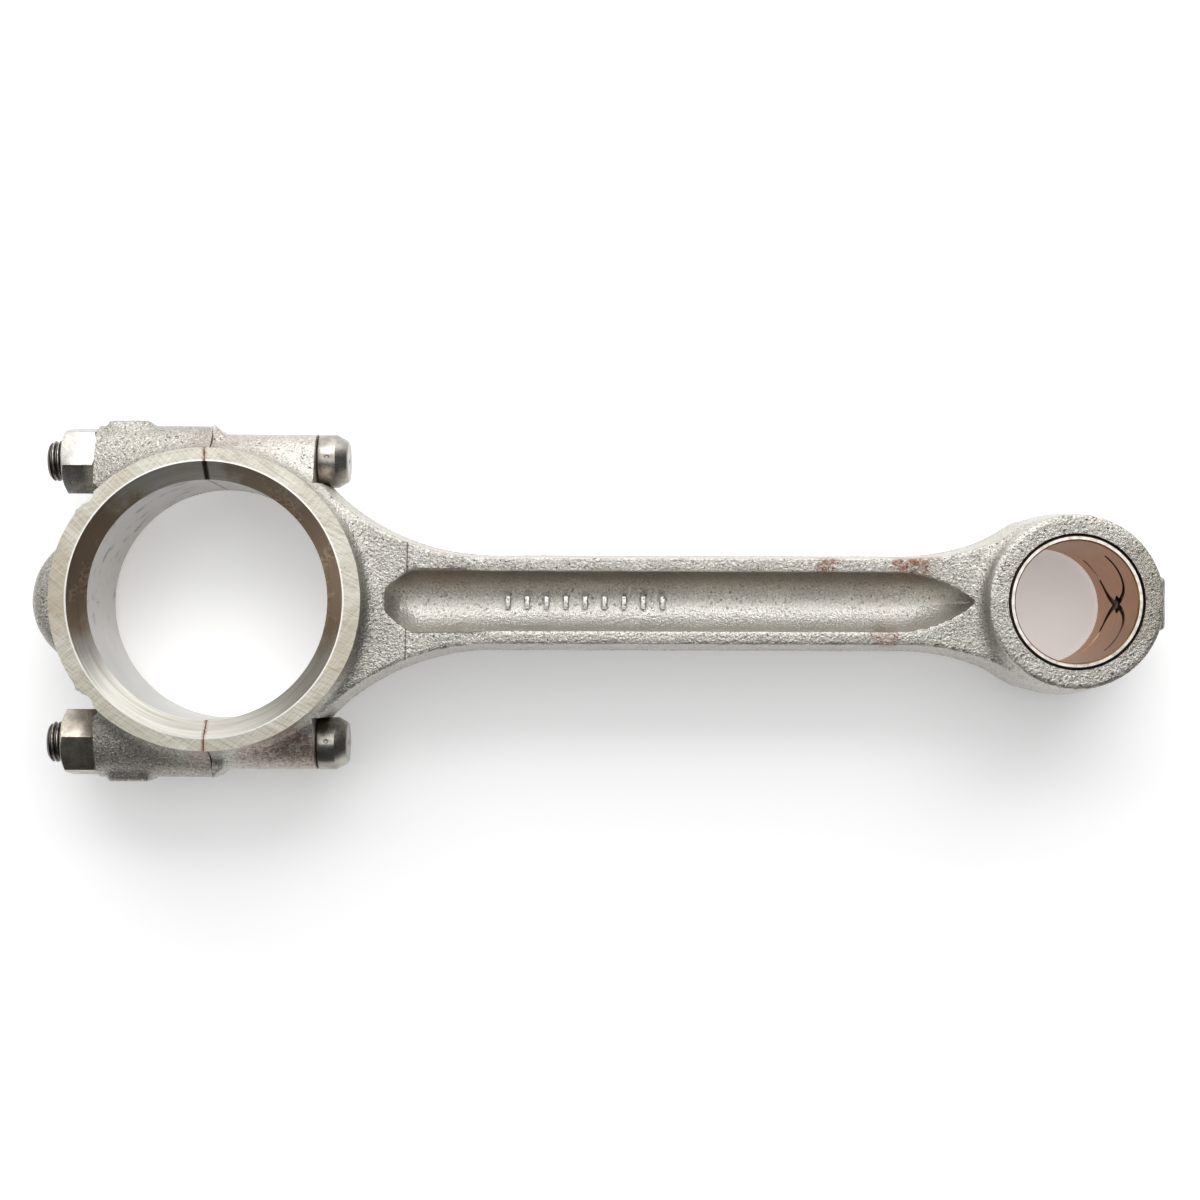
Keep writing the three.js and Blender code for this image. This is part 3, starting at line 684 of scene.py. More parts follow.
def forged_steel(name, tint=(0.53, 0.505, 0.46), rust_spots=()):
    """Shot-blasted forging: warm grey, orange-peel skin, pits, and a few rusty patches, with
    painted light in the recess and painted shade on the small end and along the scribed line.
    """
    s = Shader(name, metallic=1.0)
    patch = s.noise(11, 3)
    grain = s.noise(0.5, 4, 0.75)
    peel = s.noise(0.75, 3, 0.55)
    pit = s.step(s.noise(0.8, 2, 0.5), 0.37, 0.28)
    colour = s.mix(s.step(patch, 0.35, 0.7), tint, tuple(min(1, 1.12 * c) for c in tint))
    dark = tuple(0.36 * c for c in tint)
    colour = s.mix(s.times(s.step(grain, 0.52, 0.62), 0.6), colour, dark)
    colour = s.mix(s.times(s.step(grain, 0.47, 0.36), 0.55), colour, (0.97, 0.95, 0.90))
    colour = s.mix(s.times(pit, 0.75), colour, (0.12, 0.095, 0.07))
    along = s.times(s.step(s.x, RECESS_START, RECESS_START + 4),
                    s.step(s.x, RECESS_END, RECESS_END - 9))
    across = s.step(s.size(s.y), RECESS_HALF + 0.5, RECESS_HALF)
    sunk = s.times(along, across, s.step(s.z, FLANGE_HALF_HEIGHT - 0.4, FLANGE_HALF_HEIGHT - 1.1))
    # Painted light in the recess: a painted highlight on its half towards -Y and painted shade on
    # its half towards +Y.
    colour = s.mix(s.times(sunk, s.step(s.y, 3.0, -2.5), 0.8), colour, (0.94, 0.91, 0.85))
    colour = s.mix(s.times(sunk, s.step(s.y, 1.5, 6.5), 0.8), colour, (0.15, 0.13, 0.105))
    # Painted shade: the small end's face darker towards +X.
    small_end_painted_shade = s.times(s.spot(CENTRES + 19, 2, 17, 0.5), 0.45)
    colour = s.mix(small_end_painted_shade, colour, (0.27, 0.235, 0.18))
    # Painted shade: a dark line along the scribed groove across the flanges.
    flange = s.step(s.size(s.z), FLANGE_HALF_HEIGHT - 0.9, FLANGE_HALF_HEIGHT - 0.4)
    scribe = s.minus(s.minus(s.x, 50.25), s.times(s.y, 0.02))
    scribe = s.times(flange, s.step(s.size(scribe), 0.22, 0.08))
    colour = s.mix(s.times(scribe, 0.8), colour, (0.07, 0.055, 0.04))
    upper = s.step(s.z, 1.0, 11.0)
    for x, y, reach, strength in rust_spots:
        colour = rusty(s, colour, s.times(s.spot(x, y, reach), strength, upper))
    roughness = s.plus(0.24, s.times(grain, 0.24))
    height = s.plus(s.times(peel, 0.55), s.times(grain, 0.4))
    height = s.minus(height, s.times(pit, 0.35))
    return s.finish(colour, roughness, height, relief=0.46)


def ground_face():
    """Surface-ground end face: warm, with fine arcs crossing one another, oil stains, and a
    painted highlight along the chamfer's edge.
    """
    s = Shader("ground_face", metallic=1.0)
    lines = []
    for cx, cy, size in ((150.0, 230.0, 0.30), (-190.0, 170.0, 0.40), (60.0, -320.0, 0.7)):
        radius = s.length(s.minus(s.x, cx), s.minus(s.y, cy))
        at = s.combine(radius, s.times(s.y, 0.025), s.times(s.x, 0.025))
        lines.append(s.noise(size, 2, 0.6, at=at))
    grind = s.plus(s.times(lines[0], 0.5), s.times(lines[1], 0.3))
    grind = s.plus(grind, s.times(lines[2], 0.2))
    patch = s.noise(6, 4, 0.6)
    speck = s.step(s.noise(0.7, 3, 0.6), 0.37, 0.27)
    colour = s.mix(s.step(patch, 0.3, 0.72), (0.56, 0.53, 0.45), (0.65, 0.63, 0.55))
    colour = s.mix(s.times(s.step(grind, 0.48, 0.60), 0.6), colour, (0.36, 0.31, 0.235))
    colour = s.mix(s.times(s.step(grind, 0.44, 0.34), 0.6), colour, (0.88, 0.86, 0.80))
    colour = s.mix(s.times(speck, 0.45), colour, (0.18, 0.13, 0.08))
    left = s.times(s.spot(-37, 2, 16, 0.5), 0.5)
    right = s.times(s.spot(38, -12, 16, 0.4), 0.3)
    stain = s.math("MAXIMUM", left, right)
    colour = s.mix(s.times(stain, 0.8), colour, (0.34, 0.26, 0.17))
    radius, _ = polar(s)
    # Painted highlight: a bright line on the face along the edge of the chamfer.
    rim_highlight = s.times(s.step(radius, CHAMFER_R + 0.55, CHAMFER_R + 0.2), s.step(s.x, 55, 50))
    colour = s.mix(s.times(rim_highlight, 0.8), colour, (0.97, 0.96, 0.93))
    joint = s.step(s.size(s.x), 0.85, 0.1)
    colour = rusty(s, colour, s.times(joint, 0.85))
    roughness = s.plus(0.28, s.times(grind, 0.22))
    return s.finish(colour, roughness, grind, relief=0.045)


def turned_chamfer():
    """Turned lead-in chamfer: fine rings, stained brown with oil on the left and the right."""
    s = Shader("turned_chamfer", metallic=1.0)
    radius, angle = polar(s)
    rings = s.noise(0.24, 2, 0.6, at=s.combine(radius, s.times(angle, 0.3), 0.0))
    broad = s.noise(1.3, 2, 0.5, at=s.combine(radius, s.times(angle, 1.2), 0.0))
    patch = s.noise(8, 4, 0.6)
    colour = s.mix(s.step(broad, 0.35, 0.65), (0.62, 0.60, 0.55), (0.74, 0.72, 0.67))
    colour = s.mix(s.times(s.step(rings, 0.5, 0.62), 0.45), colour, (0.40, 0.36, 0.29))
    stain = s.math("MAXIMUM", s.spot(-33, 10, 25, 0.6), s.spot(31, 10, 25, 0.55))
    stain = s.math("MAXIMUM", stain, s.times(s.spot(14, 30, 14, 0.7), 0.8))
    speck = s.step(s.noise(0.9, 4, 0.7), 0.42, 0.58)
    brown = s.mix(speck, (0.30, 0.20, 0.125), (0.58, 0.44, 0.30))
    brown = s.mix(s.step(patch, 0.42, 0.52), brown, (0.38, 0.27, 0.18))
    colour = s.mix(s.times(stain, 0.88), colour, brown)
    seam = s.times(s.step(s.size(s.x), 0.9, 0.35), s.step(s.y, 0.0, 5.0))
    joint = s.step(s.size(s.x), 0.9, 0.1)
    colour = rusty(s, colour, s.times(joint, 0.8))
    colour = s.mix(s.times(seam, 0.9), colour, (0.035, 0.027, 0.02))
    roughness = s.plus(0.28, s.times(rings, 0.25))
    return s.finish(colour, roughness, rings, relief=0.03)


def bar_steel():
    """Raised bars on the web: a painted highlight on their tops, in patches, and painted shade on
    their flanks.
    """
    s = Shader("bar_steel", metallic=1.0)
    patchiness = s.noise(0.8, 3, 0.6)
    crown = WEB_HALF + BAR_HEIGHT
    top = s.step(s.size(s.z), crown - 0.4, crown - 0.05)
    # Painted light: the bright colour on the bars' tops is a painted highlight, and the dark
    # colour elsewhere is painted shade.
    colour = s.mix(s.times(top, s.step(patchiness, 0.3, 0.5)), (0.10, 0.085, 0.07), (0.80, 0.77, 0.72))
    return s.finish(colour, s.plus(0.26, s.times(patchiness, 0.2)), patchiness, relief=0.1)


def bored_housing():
    """Fine-bored bearing housing: pale grey with darker smears, and painted shade on the side
    towards +Y.
    """
    s = Shader("bored_housing", metallic=1.0)
    _, angle = polar(s)
    rings = s.noise(0.3, 2, 0.6, at=s.combine(s.z, s.times(angle, 0.5), 0.0))
    around = s.combine(s.times(angle, 12.0), s.times(s.z, 0.7), 0.0)
    smear = s.step(s.noise(2.6, 3, 0.5, at=around), 0.56, 0.70)
    # Painted shade: the wall is darker on the side towards +Y, and the smears lie there.
    shade_side = s.step(s.y, -14.0, 4.0)
    colour = s.mix(s.noise(9, 3), (0.50, 0.485, 0.46), (0.64, 0.63, 0.61))
    colour = s.mix(s.times(shade_side, 0.45), colour, (0.36, 0.34, 0.315))
    colour = s.mix(s.times(smear, shade_side, 0.8), colour, (0.17, 0.15, 0.13))
    joint = s.step(s.size(s.x), 0.8, 0.1)
    colour = rusty(s, colour, s.times(joint, 0.7))
    roughness = s.plus(0.24, s.times(rings, 0.2))
    return s.finish(colour, roughness, rings, relief=0.02)


def milled_seat():
    """Milled seats, joint faces and holes."""
    s = Shader("milled_seat", metallic=1.0)
    mill = s.noise(0.35, 3, 0.6, at=s.vector("MULTIPLY", s.place, (0.15, 1, 1)))
    colour = s.mix(s.noise(5, 3), (0.40, 0.36, 0.31), (0.54, 0.50, 0.44))
    colour = s.mix(s.times(s.step(mill, 0.5, 0.65), 0.4), colour, (0.24, 0.20, 0.16))
    return s.finish(colour, s.plus(0.3, s.times(mill, 0.25)), mill, relief=0.03)


def bush_bronze():
    """Bored bronze lining, brown with oil, brighter where it is rubbed."""
    s = Shader("bush_bronze", metallic=1.0)
    _, angle = polar(s, CENTRES)
    rings = s.noise(0.25, 2, 0.6, at=s.combine(s.z, s.times(angle, 0.5), 0.0))
    patch = s.noise(6, 4, 0.6)
    colour = s.mix(patch, (0.39, 0.175, 0.075), (0.54, 0.30, 0.155))
    colour = s.mix(s.times(s.step(rings, 0.52, 0.66), 0.25), colour, (0.28, 0.15, 0.08))
    edge = s.step(s.size(s.z), HALF_WIDTH - 0.75, HALF_WIDTH - 0.3)
    colour = s.mix(s.times(edge, 0.9), colour, (0.86, 0.55, 0.19))
    return s.finish(colour, s.plus(0.26, s.times(rings, 0.2)), rings, relief=0.02)


def bush_steel():
    """The bush's steel back, bright on its faced ends."""
    s = Shader("bush_steel", metallic=1.0)
    scuff = s.noise(1.6, 4, 0.6)
    colour = s.mix(s.step(scuff, 0.4, 0.7), (0.72, 0.70, 0.66), (0.50, 0.46, 0.40))
    return s.finish(colour, s.plus(0.22, s.times(scuff, 0.22)), scuff, relief=0.03)


def groove_dirt_and_gap_shade():
    """Oil grooves, dark with old oil; the same dark colour is painted shade in the bush's outer
    chamfer, where it meets the eye.
    """
    s = Shader("groove_dirt_and_gap_shade", metallic=0.6)
    colour = s.mix(s.noise(0.8, 3), (0.055, 0.035, 0.025), (0.13, 0.085, 0.05))
    return s.finish(colour, 0.4, s.noise(0.5, 2), relief=0.03)


def dark_fastener(name, tint, polish):
    """Heat-treated steel with a satin, slightly patchy skin."""
    s = Shader(name, metallic=1.0)
    patch = s.noise(3.5, 4, 0.6)
    fine = s.noise(0.3, 3, 0.6)
    light = tuple(min(1.0, 1.55 * c) for c in tint)
    colour = s.mix(s.step(patch, 0.38, 0.68), tint, light)
    nick = s.step(s.noise(1.1, 3, 0.6), 0.33, 0.24)
    colour = s.mix(s.times(nick, 0.5), colour, tuple(0.45 * c for c in tint))
    roughness = s.plus(polish, s.times(fine, 0.2))
    return s.finish(colour, roughness, s.plus(s.times(fine, 0.6), s.times(patch, 0.4)),
                    relief=0.035)


def thread_steel():
    """Rolled thread: dark roots, bright rubbed crests."""
    s = Shader("thread_steel", metallic=1.0)
    away = s.minus(s.size(s.y), BOLT_Y)
    radius = s.length(away, s.z)
    crest = s.step(radius, THREAD_ROOT_R + 0.25, BOLT_R)
    patchiness = s.noise(1.2, 3)
    rubbed = s.times(crest, s.step(patchiness, 0.3, 0.6))
    colour = s.mix(rubbed, (0.115, 0.10, 0.088), (0.56, 0.54, 0.50))
    return s.finish(colour, s.plus(0.28, s.times(patchiness, 0.15)), patchiness, relief=0.02)


# ---- Pieces ----

def bore_cutter():
    shoulder = HALF_WIDTH - CHAMFER_DEPTH
    wide = CHAMFER_R + 1
    return lathe("bore_cut", [(wide, -HALF_WIDTH - 4), (wide, -HALF_WIDTH - 1),
                              (CHAMFER_R, -HALF_WIDTH), (BORE_R, -shoulder), (BORE_R, shoulder),
                              (CHAMFER_R, HALF_WIDTH), (wide, HALF_WIDTH + 1),
                              (wide, HALF_WIDTH + 4)], BORE_SIDES)


def hole_cutter(side, low, high):
    return lathe("bolt_cut", [(HOLE_R, low), (HOLE_R, high)], HOLE_SIDES, "X",
                 (0, side * BOLT_Y, 0))


def face_cutters(x):
    """Two blocks that leave the end faces flat and flush."""
    return [block("face_cut", x, (-WIDE, WIDE), (HALF_WIDTH, HALF_WIDTH + CUT)),
            block("face_cut", x, (-WIDE, WIDE), (-HALF_WIDTH - CUT, -HALF_WIDTH))]


def big_end_faces(piece, skins):
    """Chooses one of the five materials for every face by where it lies."""
    centre, normal = face_table(piece)
    x, y, z = centre.T
    radius = np.hypot(x, y)
    toward_axis = -(normal[:, 0] * x + normal[:, 1] * y) / np.maximum(radius, 1)
    chosen = np.zeros(len(centre), np.int32)
    near = x < FAR
    at_end = np.abs(np.abs(z) - HALF_WIDTH) < FACE_TOLERANCE
    chosen[near & (np.abs(normal[:, 2]) > 0.999) & at_end] = 1
    inner = near & (toward_axis > 0.3) & (radius < CHAMFER_R + 0.3)
    chosen[inner] = 2
    chosen[inner & (np.abs(normal[:, 2]) < 0.1)] = 3
    across = np.abs(normal[:, 0]) > 0.999
    for plane in (JOINT_FACE, -JOINT_FACE, HEAD_SEAT, NUT_SEAT):
        chosen[across & (np.abs(x - plane) < FACE_TOLERANCE)] = 4
    for side in (-1, 1):
        away = np.hypot(y - side * BOLT_Y, z)
        in_hole = away < HOLE_R + FACE_TOLERANCE
        chosen[near & in_hole & (np.abs(normal[:, 0]) < 0.1)] = 4
    pocket = near & (x > HEAD_SEAT) & (np.abs(normal[:, 1]) > 0.999)
    chosen[pocket & (np.abs(np.abs(y) - POCKET_Y) < FACE_TOLERANCE)] = 4
    dress(piece, skins, chosen)


def forged_blank(name, field, x, half):
    """A forging's skin from its field, within limits in X and a half width in Y."""
    high = HALF_WIDTH + 3
    return mesh_object(name, *surface_net(field, (x[0], -half, -high), (x[1], half, high),
                                          FORGING_STEP))


def rod_body(skins):
    body = forged_blank("rod_body_fine", rod_field, (-3.0, BODY_HIGH[0] + 2), CAP_BOSS_Y + 2.5)
    tools = [block("joint_cut", (-CUT, JOINT_FACE), (-WIDE, WIDE), (-DEEP, DEEP)),
             bore_cutter(), *face_cutters((-CUT, FAR)),
             lathe("eye_cut", [(EYE_BORE_R, -DEEP), (EYE_BORE_R, DEEP)], EYE_SIDES, "Z",
                   (CENTRES, 0, 0))]
    for side in (-1, 1):
        tools.append(hole_cutter(side, -CUT, DEEP))
        y = (POCKET_Y, FAR) if side > 0 else (-FAR, -POCKET_Y)
        tools.append(block("pocket_cut", (HEAD_SEAT, 45), y, (-DEEP, DEEP)))
        low, high = side * SCRIBE_Y - SCRIBE_HALF, side * SCRIBE_Y + SCRIBE_HALF
        line = [(x, low) for x in SCRIBE_LOW_X] + [(x, high) for x in SCRIBE_HIGH_X]
        tools.append(prism("scribe_cut", line, FLANGE_HALF_HEIGHT - 0.3, FLANGE_HALF_HEIGHT + 3))
    tools.append(lathe("oil_cut", [(OIL_HOLE_R, CENTRES), (OIL_HOLE_R, BODY_HIGH[0] - 0.8),
                                   (OIL_COUNTERSINK_R, BODY_HIGH[0] + 1)], OIL_SIDES, "X"))
    combine(body, tools)
    shade(body)
    big_end_faces(body, skins)
    keep(body, "rod", "forged_rod", "rod_body")


def big_end_cap(skins):
    cap = forged_blank("big_end_cap_fine", cap_field, (CAP_LOW[0] - 2, 3.0), CAP_BOSS_Y + 3)
    tools = [block("joint_cut", (-JOINT_FACE, CUT), (-WIDE, WIDE), (-DEEP, DEEP)),
             bore_cutter(), *face_cutters((-WIDE, CUT))]
    notch_x, notch_y, notch_r = NOTCH
    wedge_x, wedge_low, wedge_high = NOTCH_WEDGE
    for side in (-1, 1):
        tools.append(hole_cutter(side, -50, CUT))
        y = (notch_y, FAR) if side > 0 else (-FAR, -notch_y)
        tools.append(block("seat_cut", (-FAR, NUT_SEAT), y, (-DEEP, DEEP)))
        tools.append(lathe("nick_cut", [(notch_r, -DEEP), (notch_r, DEEP)], HOLE_SIDES, "Z",
                           (notch_x, side * notch_y, 0)))
        wedge = [(notch_x, side * (notch_y - notch_r + FACE_TOLERANCE)),
                 (notch_x, side * wedge_high), (wedge_x, side * wedge_high),
                 (wedge_x, side * wedge_low)]
        tools.append(prism("wedge_cut", wedge[::side], -DEEP, DEEP))
    combine(cap, tools)
    shade(cap)
    big_end_faces(cap, skins)
    keep(cap, "cap", "forged_cap", "big_end_cap")


def forging_marks(steel):
    """A plain row of raised bars on the web, in place of a forging's number."""
    bars = []
    for i in range(BAR_COUNT):
        x = BAR_START + i * BAR_SPACING
        bars.append(block("bar", (x, x + BAR_WIDTH), (-BAR_HALF_LENGTH, BAR_HALF_LENGTH),
                          (WEB_HALF - 0.8, WEB_HALF + BAR_HEIGHT)))
    base = combine(bars[0], bars[1:], "UNION")
    base.name = "forging_marks"
    bevel_edges(base, BAR_BEVEL, segments=3)
    shade(base, 60)
    dress(base, [steel])
    keep(base, "rod", "forged_rod")


def oil_groove_cutter(sideways, upwards):
    """A bent rod that cuts one oil groove in the bush, from the oil hole round the bore."""
    path = []
    for t in np.linspace(0, 1, 49):
        angle = sideways * math.radians(GROOVE_TURN) * t
        height = upwards * GROOVE_RISE * (1 - math.exp(-GROOVE_BEND * t)) - GROOVE_DROP
        path.append((CENTRES + BUSH_BORE_R * math.cos(angle), BUSH_BORE_R * math.sin(angle),
                     height))
    return tube("groove_cut", path, GROOVE_R, 16)


def tube(name, path, radius, sides):
    """A closed round tube along a path of points."""
    path = np.array(path)
    ahead = np.gradient(path, axis=0)
    ahead /= np.linalg.norm(ahead, axis=1)[:, None]
    up = np.array([1.0, 0, 0])
    points, faces = [], []
    for place, direction in zip(path, ahead):
        across = np.cross(direction, up)
        across /= np.linalg.norm(across)
        over = np.cross(across, direction)
        for k in range(sides):
            a = 2 * math.pi * k / sides
            points.append(place + radius * (math.cos(a) * across + math.sin(a) * over))
    for row in range(len(path) - 1):
        for k in range(sides):
            after = (k + 1) % sides
            faces.append((row * sides + k, (row + 1) * sides + k,
                          (row + 1) * sides + after, row * sides + after))
    faces.append(tuple(range(sides)))
    faces.append(tuple(reversed(range((len(path) - 1) * sides, len(path) * sides))))
    return mesh_object(name, points, faces)


def small_end_bush(bronze, steel, dirt_and_gap_shade):
    outer = EYE_BORE_R - 0.1
    lip = BUSH_BORE_R + BUSH_LIP
    shoulder = HALF_WIDTH - BUSH_CHAMFER
    profile = [(lip, -HALF_WIDTH), (BUSH_WALL_R, -HALF_WIDTH), (outer, -HALF_WIDTH + BUSH_CHAMFER),
               (outer, shoulder), (BUSH_WALL_R, HALF_WIDTH), (lip, HALF_WIDTH),
               (BUSH_BORE_R, HALF_WIDTH - BUSH_LIP_DEPTH),
               (BUSH_BORE_R, -HALF_WIDTH + BUSH_LIP_DEPTH)]
    bush = lathe("small_end_bush_fine", profile, EYE_SIDES, "Z", (CENTRES, 0, 0), hollow=True)
    tools = [oil_groove_cutter(s, u) for s in (-1, 1) for u in (-1, 1)]
    tools.append(lathe("oil_cut", [(BUSH_HOLE_R, CENTRES), (BUSH_HOLE_R, CENTRES + 30)],
                       OIL_SIDES, "X"))
    combine(bush, tools)
    shade(bush)
    centre, normal = face_table(bush)
    centre[:, 0] -= CENTRES
    x, y, z = centre.T
    radius = np.hypot(x, y)
    chosen = np.ones(len(centre), np.int32)
    chosen[radius < BUSH_BORE_R + 0.2] = 0
    # Painted shade: the outer chamfer, where the bush meets the eye, takes the dark groove
    # material.
    chosen[(radius > BUSH_WALL_R) & (radius < outer - 0.02) & (np.abs(z) > shoulder)] = 2
    toward_axis = -(normal[:, 0] * x + normal[:, 1] * y) / radius
    off_bore = (toward_axis < 0.985) | (radius > BUSH_BORE_R + 0.06)
    chosen[off_bore & (np.abs(z) < 12) & (radius < outer - 0.05)] = 2
    dress(bush, [bronze, steel, dirt_and_gap_shade], chosen)
    keep(bush, "rod", "bush_bronze", "small_end_bush")


def threaded_rod(name, root, crest, turns):
    """A right-hand threaded rod along X from a bolt's tip, closed at both ends."""
    shoulder = crest - THREAD_ROUNDING
    profile = [(0.0, crest), (0.07, shoulder), (0.40, root), (0.60, root), (0.93, shoulder)]
    n = len(profile)
    sides = THREAD_SIDES
    low = BOLT_LOW[0] - PITCH
    columns = turns * sides + 1
    points, faces = [], []
    for k in range(columns):
        angle = 2 * math.pi * k / sides
        for share, radius in profile:
            x = low + PITCH * (k / sides + share)
            points.append((x, radius * math.cos(angle), radius * math.sin(angle)))
    for k in range(columns - 1):
        for i in range(n - 1):
            faces.append((k * n + i, k * n + i + 1, (k + 1) * n + i + 1, (k + 1) * n + i))
    for k in range(columns - 1 - sides):
        last = k * n + n - 1
        faces.append((last, (k + sides) * n, (k + sides + 1) * n, last + n))
    first_end, second_end = len(points), len(points) + 1
    points += [(low - PITCH, 0, 0), (low + PITCH * (turns + 2), 0, 0)]
    for k in range(sides):
        faces.append((k * n, (k + 1) * n, first_end))
    seam = [*range(n), sides * n]
    faces += [(b, a, first_end) for a, b in zip(seam[1:], seam[:-1])]
    top = columns - 1
    for k in range(top - sides, top):
        last = k * n + n - 1
        faces.append((last + n, last, second_end))
    seam = [(top - sides) * n + n - 1] + [top * n + i for i in range(n)]
    faces += [(a, b, second_end) for a, b in zip(seam[:-1], seam[1:])]
    rod = mesh_object(name, points, faces)
    orient(rod)
    return rod


def rod_bolt(side, head_steel, thread_steel_material):
    word = "upper" if side > 0 else "lower"
    under, end = HEAD_SEAT + FIT_GAP, BOLT_HIGH[0]
    tip = BOLT_LOW[0]
    y = side * BOLT_Y
    centre = (0, y, 0)
    bolt = threaded_rod(f"rod_bolt_{word}_fine", THREAD_ROOT_R, BOLT_R, BOLT_TURNS)
    bolt.data.transform(Matrix.Translation((0, y / 1000, 0)))
    envelope = lathe("envelope", [(BOLT_R - 1.0, tip), (BOLT_R + 0.3, tip + 1.2),
                                  (BOLT_R + 0.3, THREAD_END_X)], BOLT_SIDES, "X", centre)
    combine(bolt, [envelope], "INTERSECT")
    shank = lathe("shank", [(THREAD_ROOT_R, SHANK_TAPER_X[0]), (BOLT_R, SHANK_TAPER_X[1]),
                            (BOLT_R, under + 0.4)], BOLT_SIDES, "X", centre)
    head = lathe("head", [(HEAD_R - HEAD_EDGE, under), (HEAD_R, under + HEAD_EDGE),
                          (HEAD_R, end - HEAD_TAPER), (HEAD_R - 1.55, end - HEAD_EDGE),
                          (HEAD_R - 2.0, end)], HEAD_SIDES, "X", centre)
    flat_y = BOLT_Y - HEAD_FLAT
    inner = (-FAR, flat_y) if side > 0 else (-flat_y, FAR)
    combine(head, [block("flat_cut", (under - 1, end + 1), inner, (-CUT, CUT))])
    dimple = lathe("dimple", [(0.5, end - 0.5), (1.0, end + 0.3)], 32, "X", centre)
    mark = lathe("mark", [(0.45, HEAD_R - 0.35), (0.75, HEAD_R + 0.3)], 24)
    mark.data.transform(Matrix.Translation(((under + 2.6) / 1000, (y + 0.6) / 1000, 0)))
    combine(head, [dimple, mark])
    bevel_edges(head, 0.18, angle=35)
    combine(bolt, [shank, head], "UNION")
    shade(bolt, 28)
    at, _ = face_table(bolt)
    dress(bolt, [head_steel, thread_steel_material], (at[:, 0] < 0).astype(np.int32))
    keep(bolt, "rod", "bolt_steel", f"rod_bolt_{word}")


def rod_nut(side, turn, steel, thread_material):
    word = "upper" if side > 0 else "lower"
    y = side * BOLT_Y
    inner, outer = NUT_SEAT - FIT_GAP, NUT_LOW[0]
    corner = NUT_FLATS / math.sqrt(3)
    face_r = NUT_FLATS / 2 - 0.35
    angles = [math.radians(60 * k) - turn for k in range(6)]
    hexagon = [(corner * math.sin(a), corner * math.cos(a)) for a in angles]
    points = [(x, py, pz) for x in (outer, inner) for py, pz in hexagon]
    faces = [tuple(range(6)), tuple(reversed(range(6, 12)))]
    faces += [(k, 6 + k, 6 + (k + 1) % 6, (k + 1) % 6) for k in range(6)]
    nut = mesh_object(f"rod_nut_{word}_fine", points, faces)
    orient(nut)
    drop = (corner - NUT_FLATS / 2 + 0.35) * math.tan(math.radians(30))
    envelope = lathe("envelope", [(face_r, outer), (corner, outer + drop), (corner, inner - drop),
                                  (face_r, inner)], NUT_SIDES, "X")
    combine(nut, [envelope], "INTERSECT")
    wide = NUT_CREST_R + NUT_LEAD
    bore = lathe("bore", [(wide + 0.3, outer - 1), (wide, outer), (NUT_CREST_R, outer + NUT_LEAD),
                          (NUT_CREST_R, inner - NUT_LEAD), (wide, inner), (wide + 0.3, inner + 1)],
                 BOLT_SIDES, "X")
    tap = threaded_rod("tap", NUT_CREST_R - 0.15, NUT_ROOT_R, TAP_TURNS)
    combine(nut, [bore, tap])
    bevel_edges(nut, 0.14, angle=20)
    nut.data.transform(Matrix.Translation((0, y / 1000, 0)))
    shade(nut, 25)
    at, _ = face_table(nut)
    away = np.hypot(at[:, 1] - y, at[:, 2])
    dress(nut, [steel, thread_material], (away < NUT_ROOT_R + 0.1).astype(np.int32))
    keep(nut, f"nut_{word}", "nut_steel", f"rod_nut_{word}")


# ---- Build ----

# x, y, reach and strength of the rusty patches on the forgings
ROD_RUST = ((157, 9.8, 3.6, 0.75), (179, 11.2, 6.5, 0.85), (172, -8.6, 5.0, 0.5),
            (19, -40, 12.0, 0.6), (60, 1.5, 9.0, 0.3), (3, 42, 4.5, 0.25), (12, 43, 9.0, 0.15))
CAP_RUST = ((-2, 41, 4.0, 0.2), (-2, -41, 5.0, 0.3), (-14, -42, 9.0, 0.15))

forged_rod = forged_steel("forged_rod_skin", rust_spots=ROD_RUST)
# The cap's copy of the forged steel has a darker tint: painted shade that tones down the
# highlights on the cap's bosses.
forged_cap = forged_steel("forged_cap_skin", tint=(0.40, 0.38, 0.34), rust_spots=CAP_RUST)
machined = [ground_face(), turned_chamfer(), bored_housing(), milled_seat()]

rod_body([forged_rod, *machined])
big_end_cap([forged_cap, *machined])
forging_marks(bar_steel())
small_end_bush(bush_bronze(), bush_steel(), groove_dirt_and_gap_shade())
head_steel = dark_fastener("bolt_head_steel", (0.31, 0.29, 0.26), 0.2)
# Two copies of one nut steel: painted light, the lower nut's copy lighter against the shade the
# cap's ring casts on it and the upper nut's copy darker to tone down its highlights.
upper_nut_painted_light = dark_fastener("nut_skin_upper_painted_light", (0.34, 0.325, 0.30), 0.18)
lower_nut_painted_light = dark_fastener("nut_skin_lower_painted_light", (0.38, 0.34, 0.29), 0.2)
threads = thread_steel()
for bolt_side in (1, -1):
    rod_bolt(bolt_side, head_steel, threads)
rod_nut(1, math.radians(12), upper_nut_painted_light, threads)
rod_nut(-1, math.radians(-10), lower_nut_painted_light, threads)


# ---- Floor, light and camera ----

FLOOR_HALF = 1.6
FLOOR_GAP = 0.0005
PHOTO_SIDE = 1200  # pixels


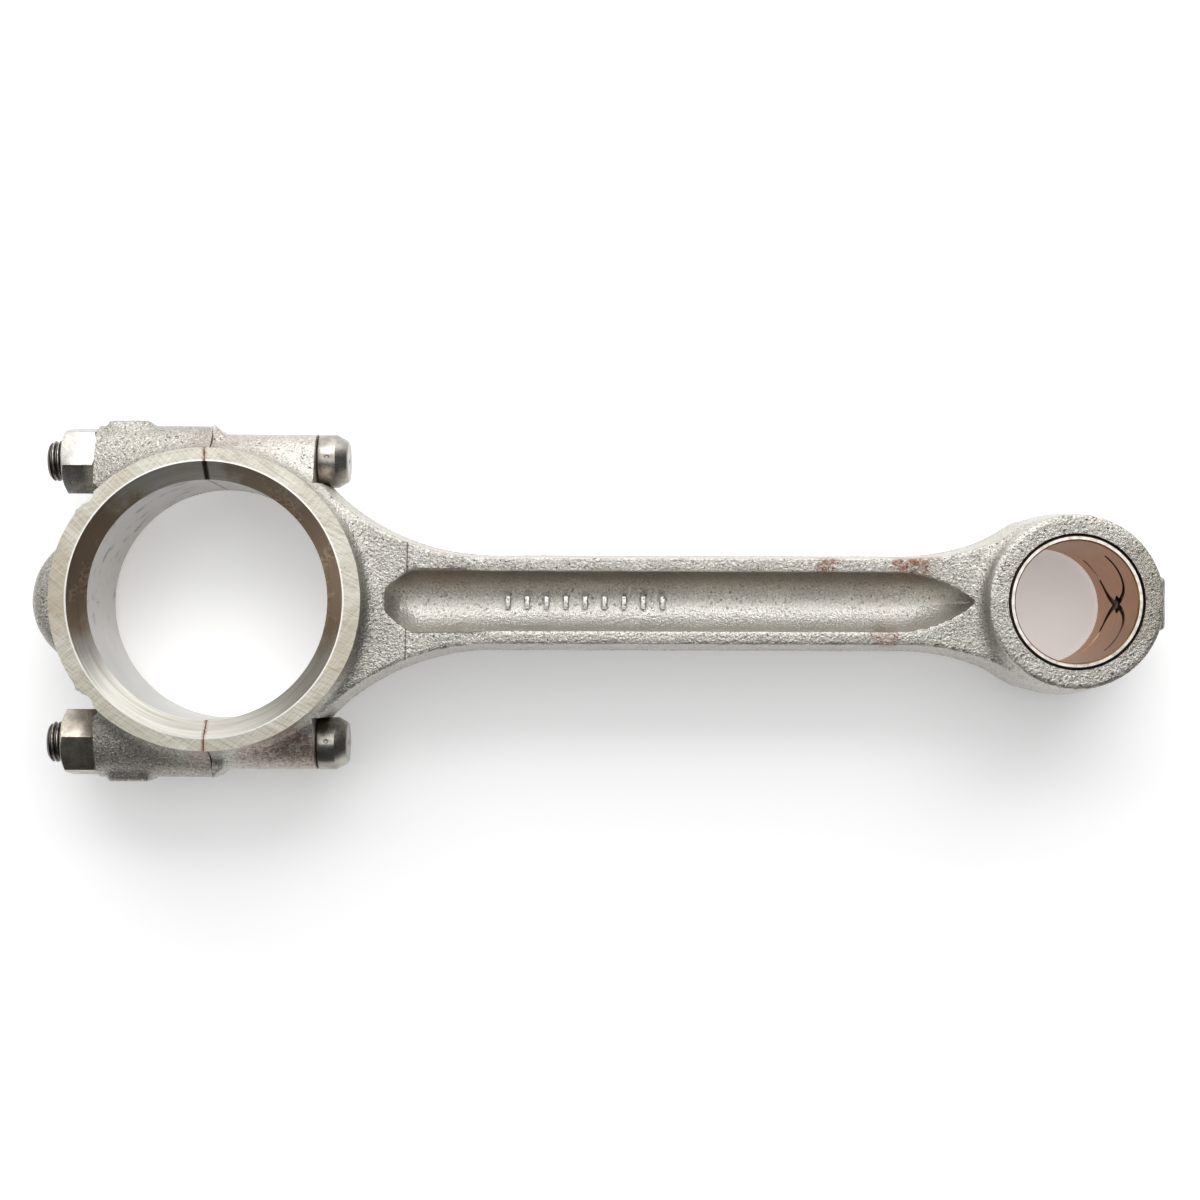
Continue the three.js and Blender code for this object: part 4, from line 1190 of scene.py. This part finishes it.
def floor():
    s = Shader("floor_paint", metallic=0.0, roughness=0.9)
    s.surface.inputs["Emission Color"].default_value = (1, 1, 1, 1)
    s.surface.inputs["Emission Strength"].default_value = 0.32
    material = s.finish(s.mix(s.noise(60, 2), (0.92, 0.92, 0.92), (0.95, 0.95, 0.95)))
    corners = [(x * FLOOR_HALF, y * FLOOR_HALF) for x, y in ((-1, -1), (1, -1), (1, 1), (-1, 1))]
    mesh = bpy.data.meshes.new("floor")
    mesh.from_pydata([(x, y, -FLOOR_GAP) for x, y in corners], [], [(0, 1, 2, 3)])
    plane = bpy.data.objects.new("floor", mesh)
    bpy.context.scene.collection.objects.link(plane)
    mesh.materials.append(material)


def softbox(name, place, target, size, power):
    light = bpy.data.lights.new(name, "AREA")
    light.shape = "RECTANGLE"
    light.size, light.size_y = size
    light.energy = power
    lamp = bpy.data.objects.new(name, light)
    lamp.location = place
    lamp.rotation_mode = "QUATERNION"
    lamp.rotation_quaternion = (Vector(target) - Vector(place)).to_track_quat("-Z", "Y")
    bpy.context.scene.collection.objects.link(lamp)


def studio():
    softbox("key", (0.0, 0.8, 0.75), (0, 0, 0), (1.6, 0.6), 8)
    softbox("overhead", (0.1, 0.52, 1.25), (0.1, 0.521, 0), (1.6, 1.3), 10.4)
    softbox("back", (0.0, 1.0, 0.36), (0, 0, 0.36), (2.0, 0.7), 6.6)
    softbox("left", (-0.9, -0.1, 0.3), (0, 0, 0), (0.4, 0.8), 1.1)
    bpy.context.scene.view_settings.view_transform = "Standard"
    world = bpy.data.worlds.new("studio")
    bpy.context.scene.world = world
    world.use_nodes = True
    background = world.node_tree.nodes["Background"]
    background.inputs["Color"].default_value = (0.80, 0.81, 0.83, 1)
    background.inputs["Strength"].default_value = 0.08


def camera():
    """Looks straight down on the rod from beside the big end."""
    over_x, over_y, distance = 94.4, -16.2, 490.0
    focal, shift_x, shift_y = 1954.0, 20, 65  # pixels of the photograph
    view = bpy.data.cameras.new("camera")
    view.sensor_width = 36
    view.sensor_fit = "HORIZONTAL"
    view.lens = view.sensor_width * focal / PHOTO_SIDE
    view.shift_x = shift_x / PHOTO_SIDE
    view.shift_y = shift_y / PHOTO_SIDE
    view.clip_start, view.clip_end = 0.01, 10
    eye = bpy.data.objects.new("camera", view)
    eye.location = (np.array([over_x, over_y, HALF_WIDTH + distance]) + CRANKPIN) / 1000
    eye.rotation_euler = (0, 0, math.radians(0.17))
    bpy.context.scene.collection.objects.link(eye)
    bpy.context.scene.camera = eye


floor()
studio()
camera()
bpy.context.view_layer.update()
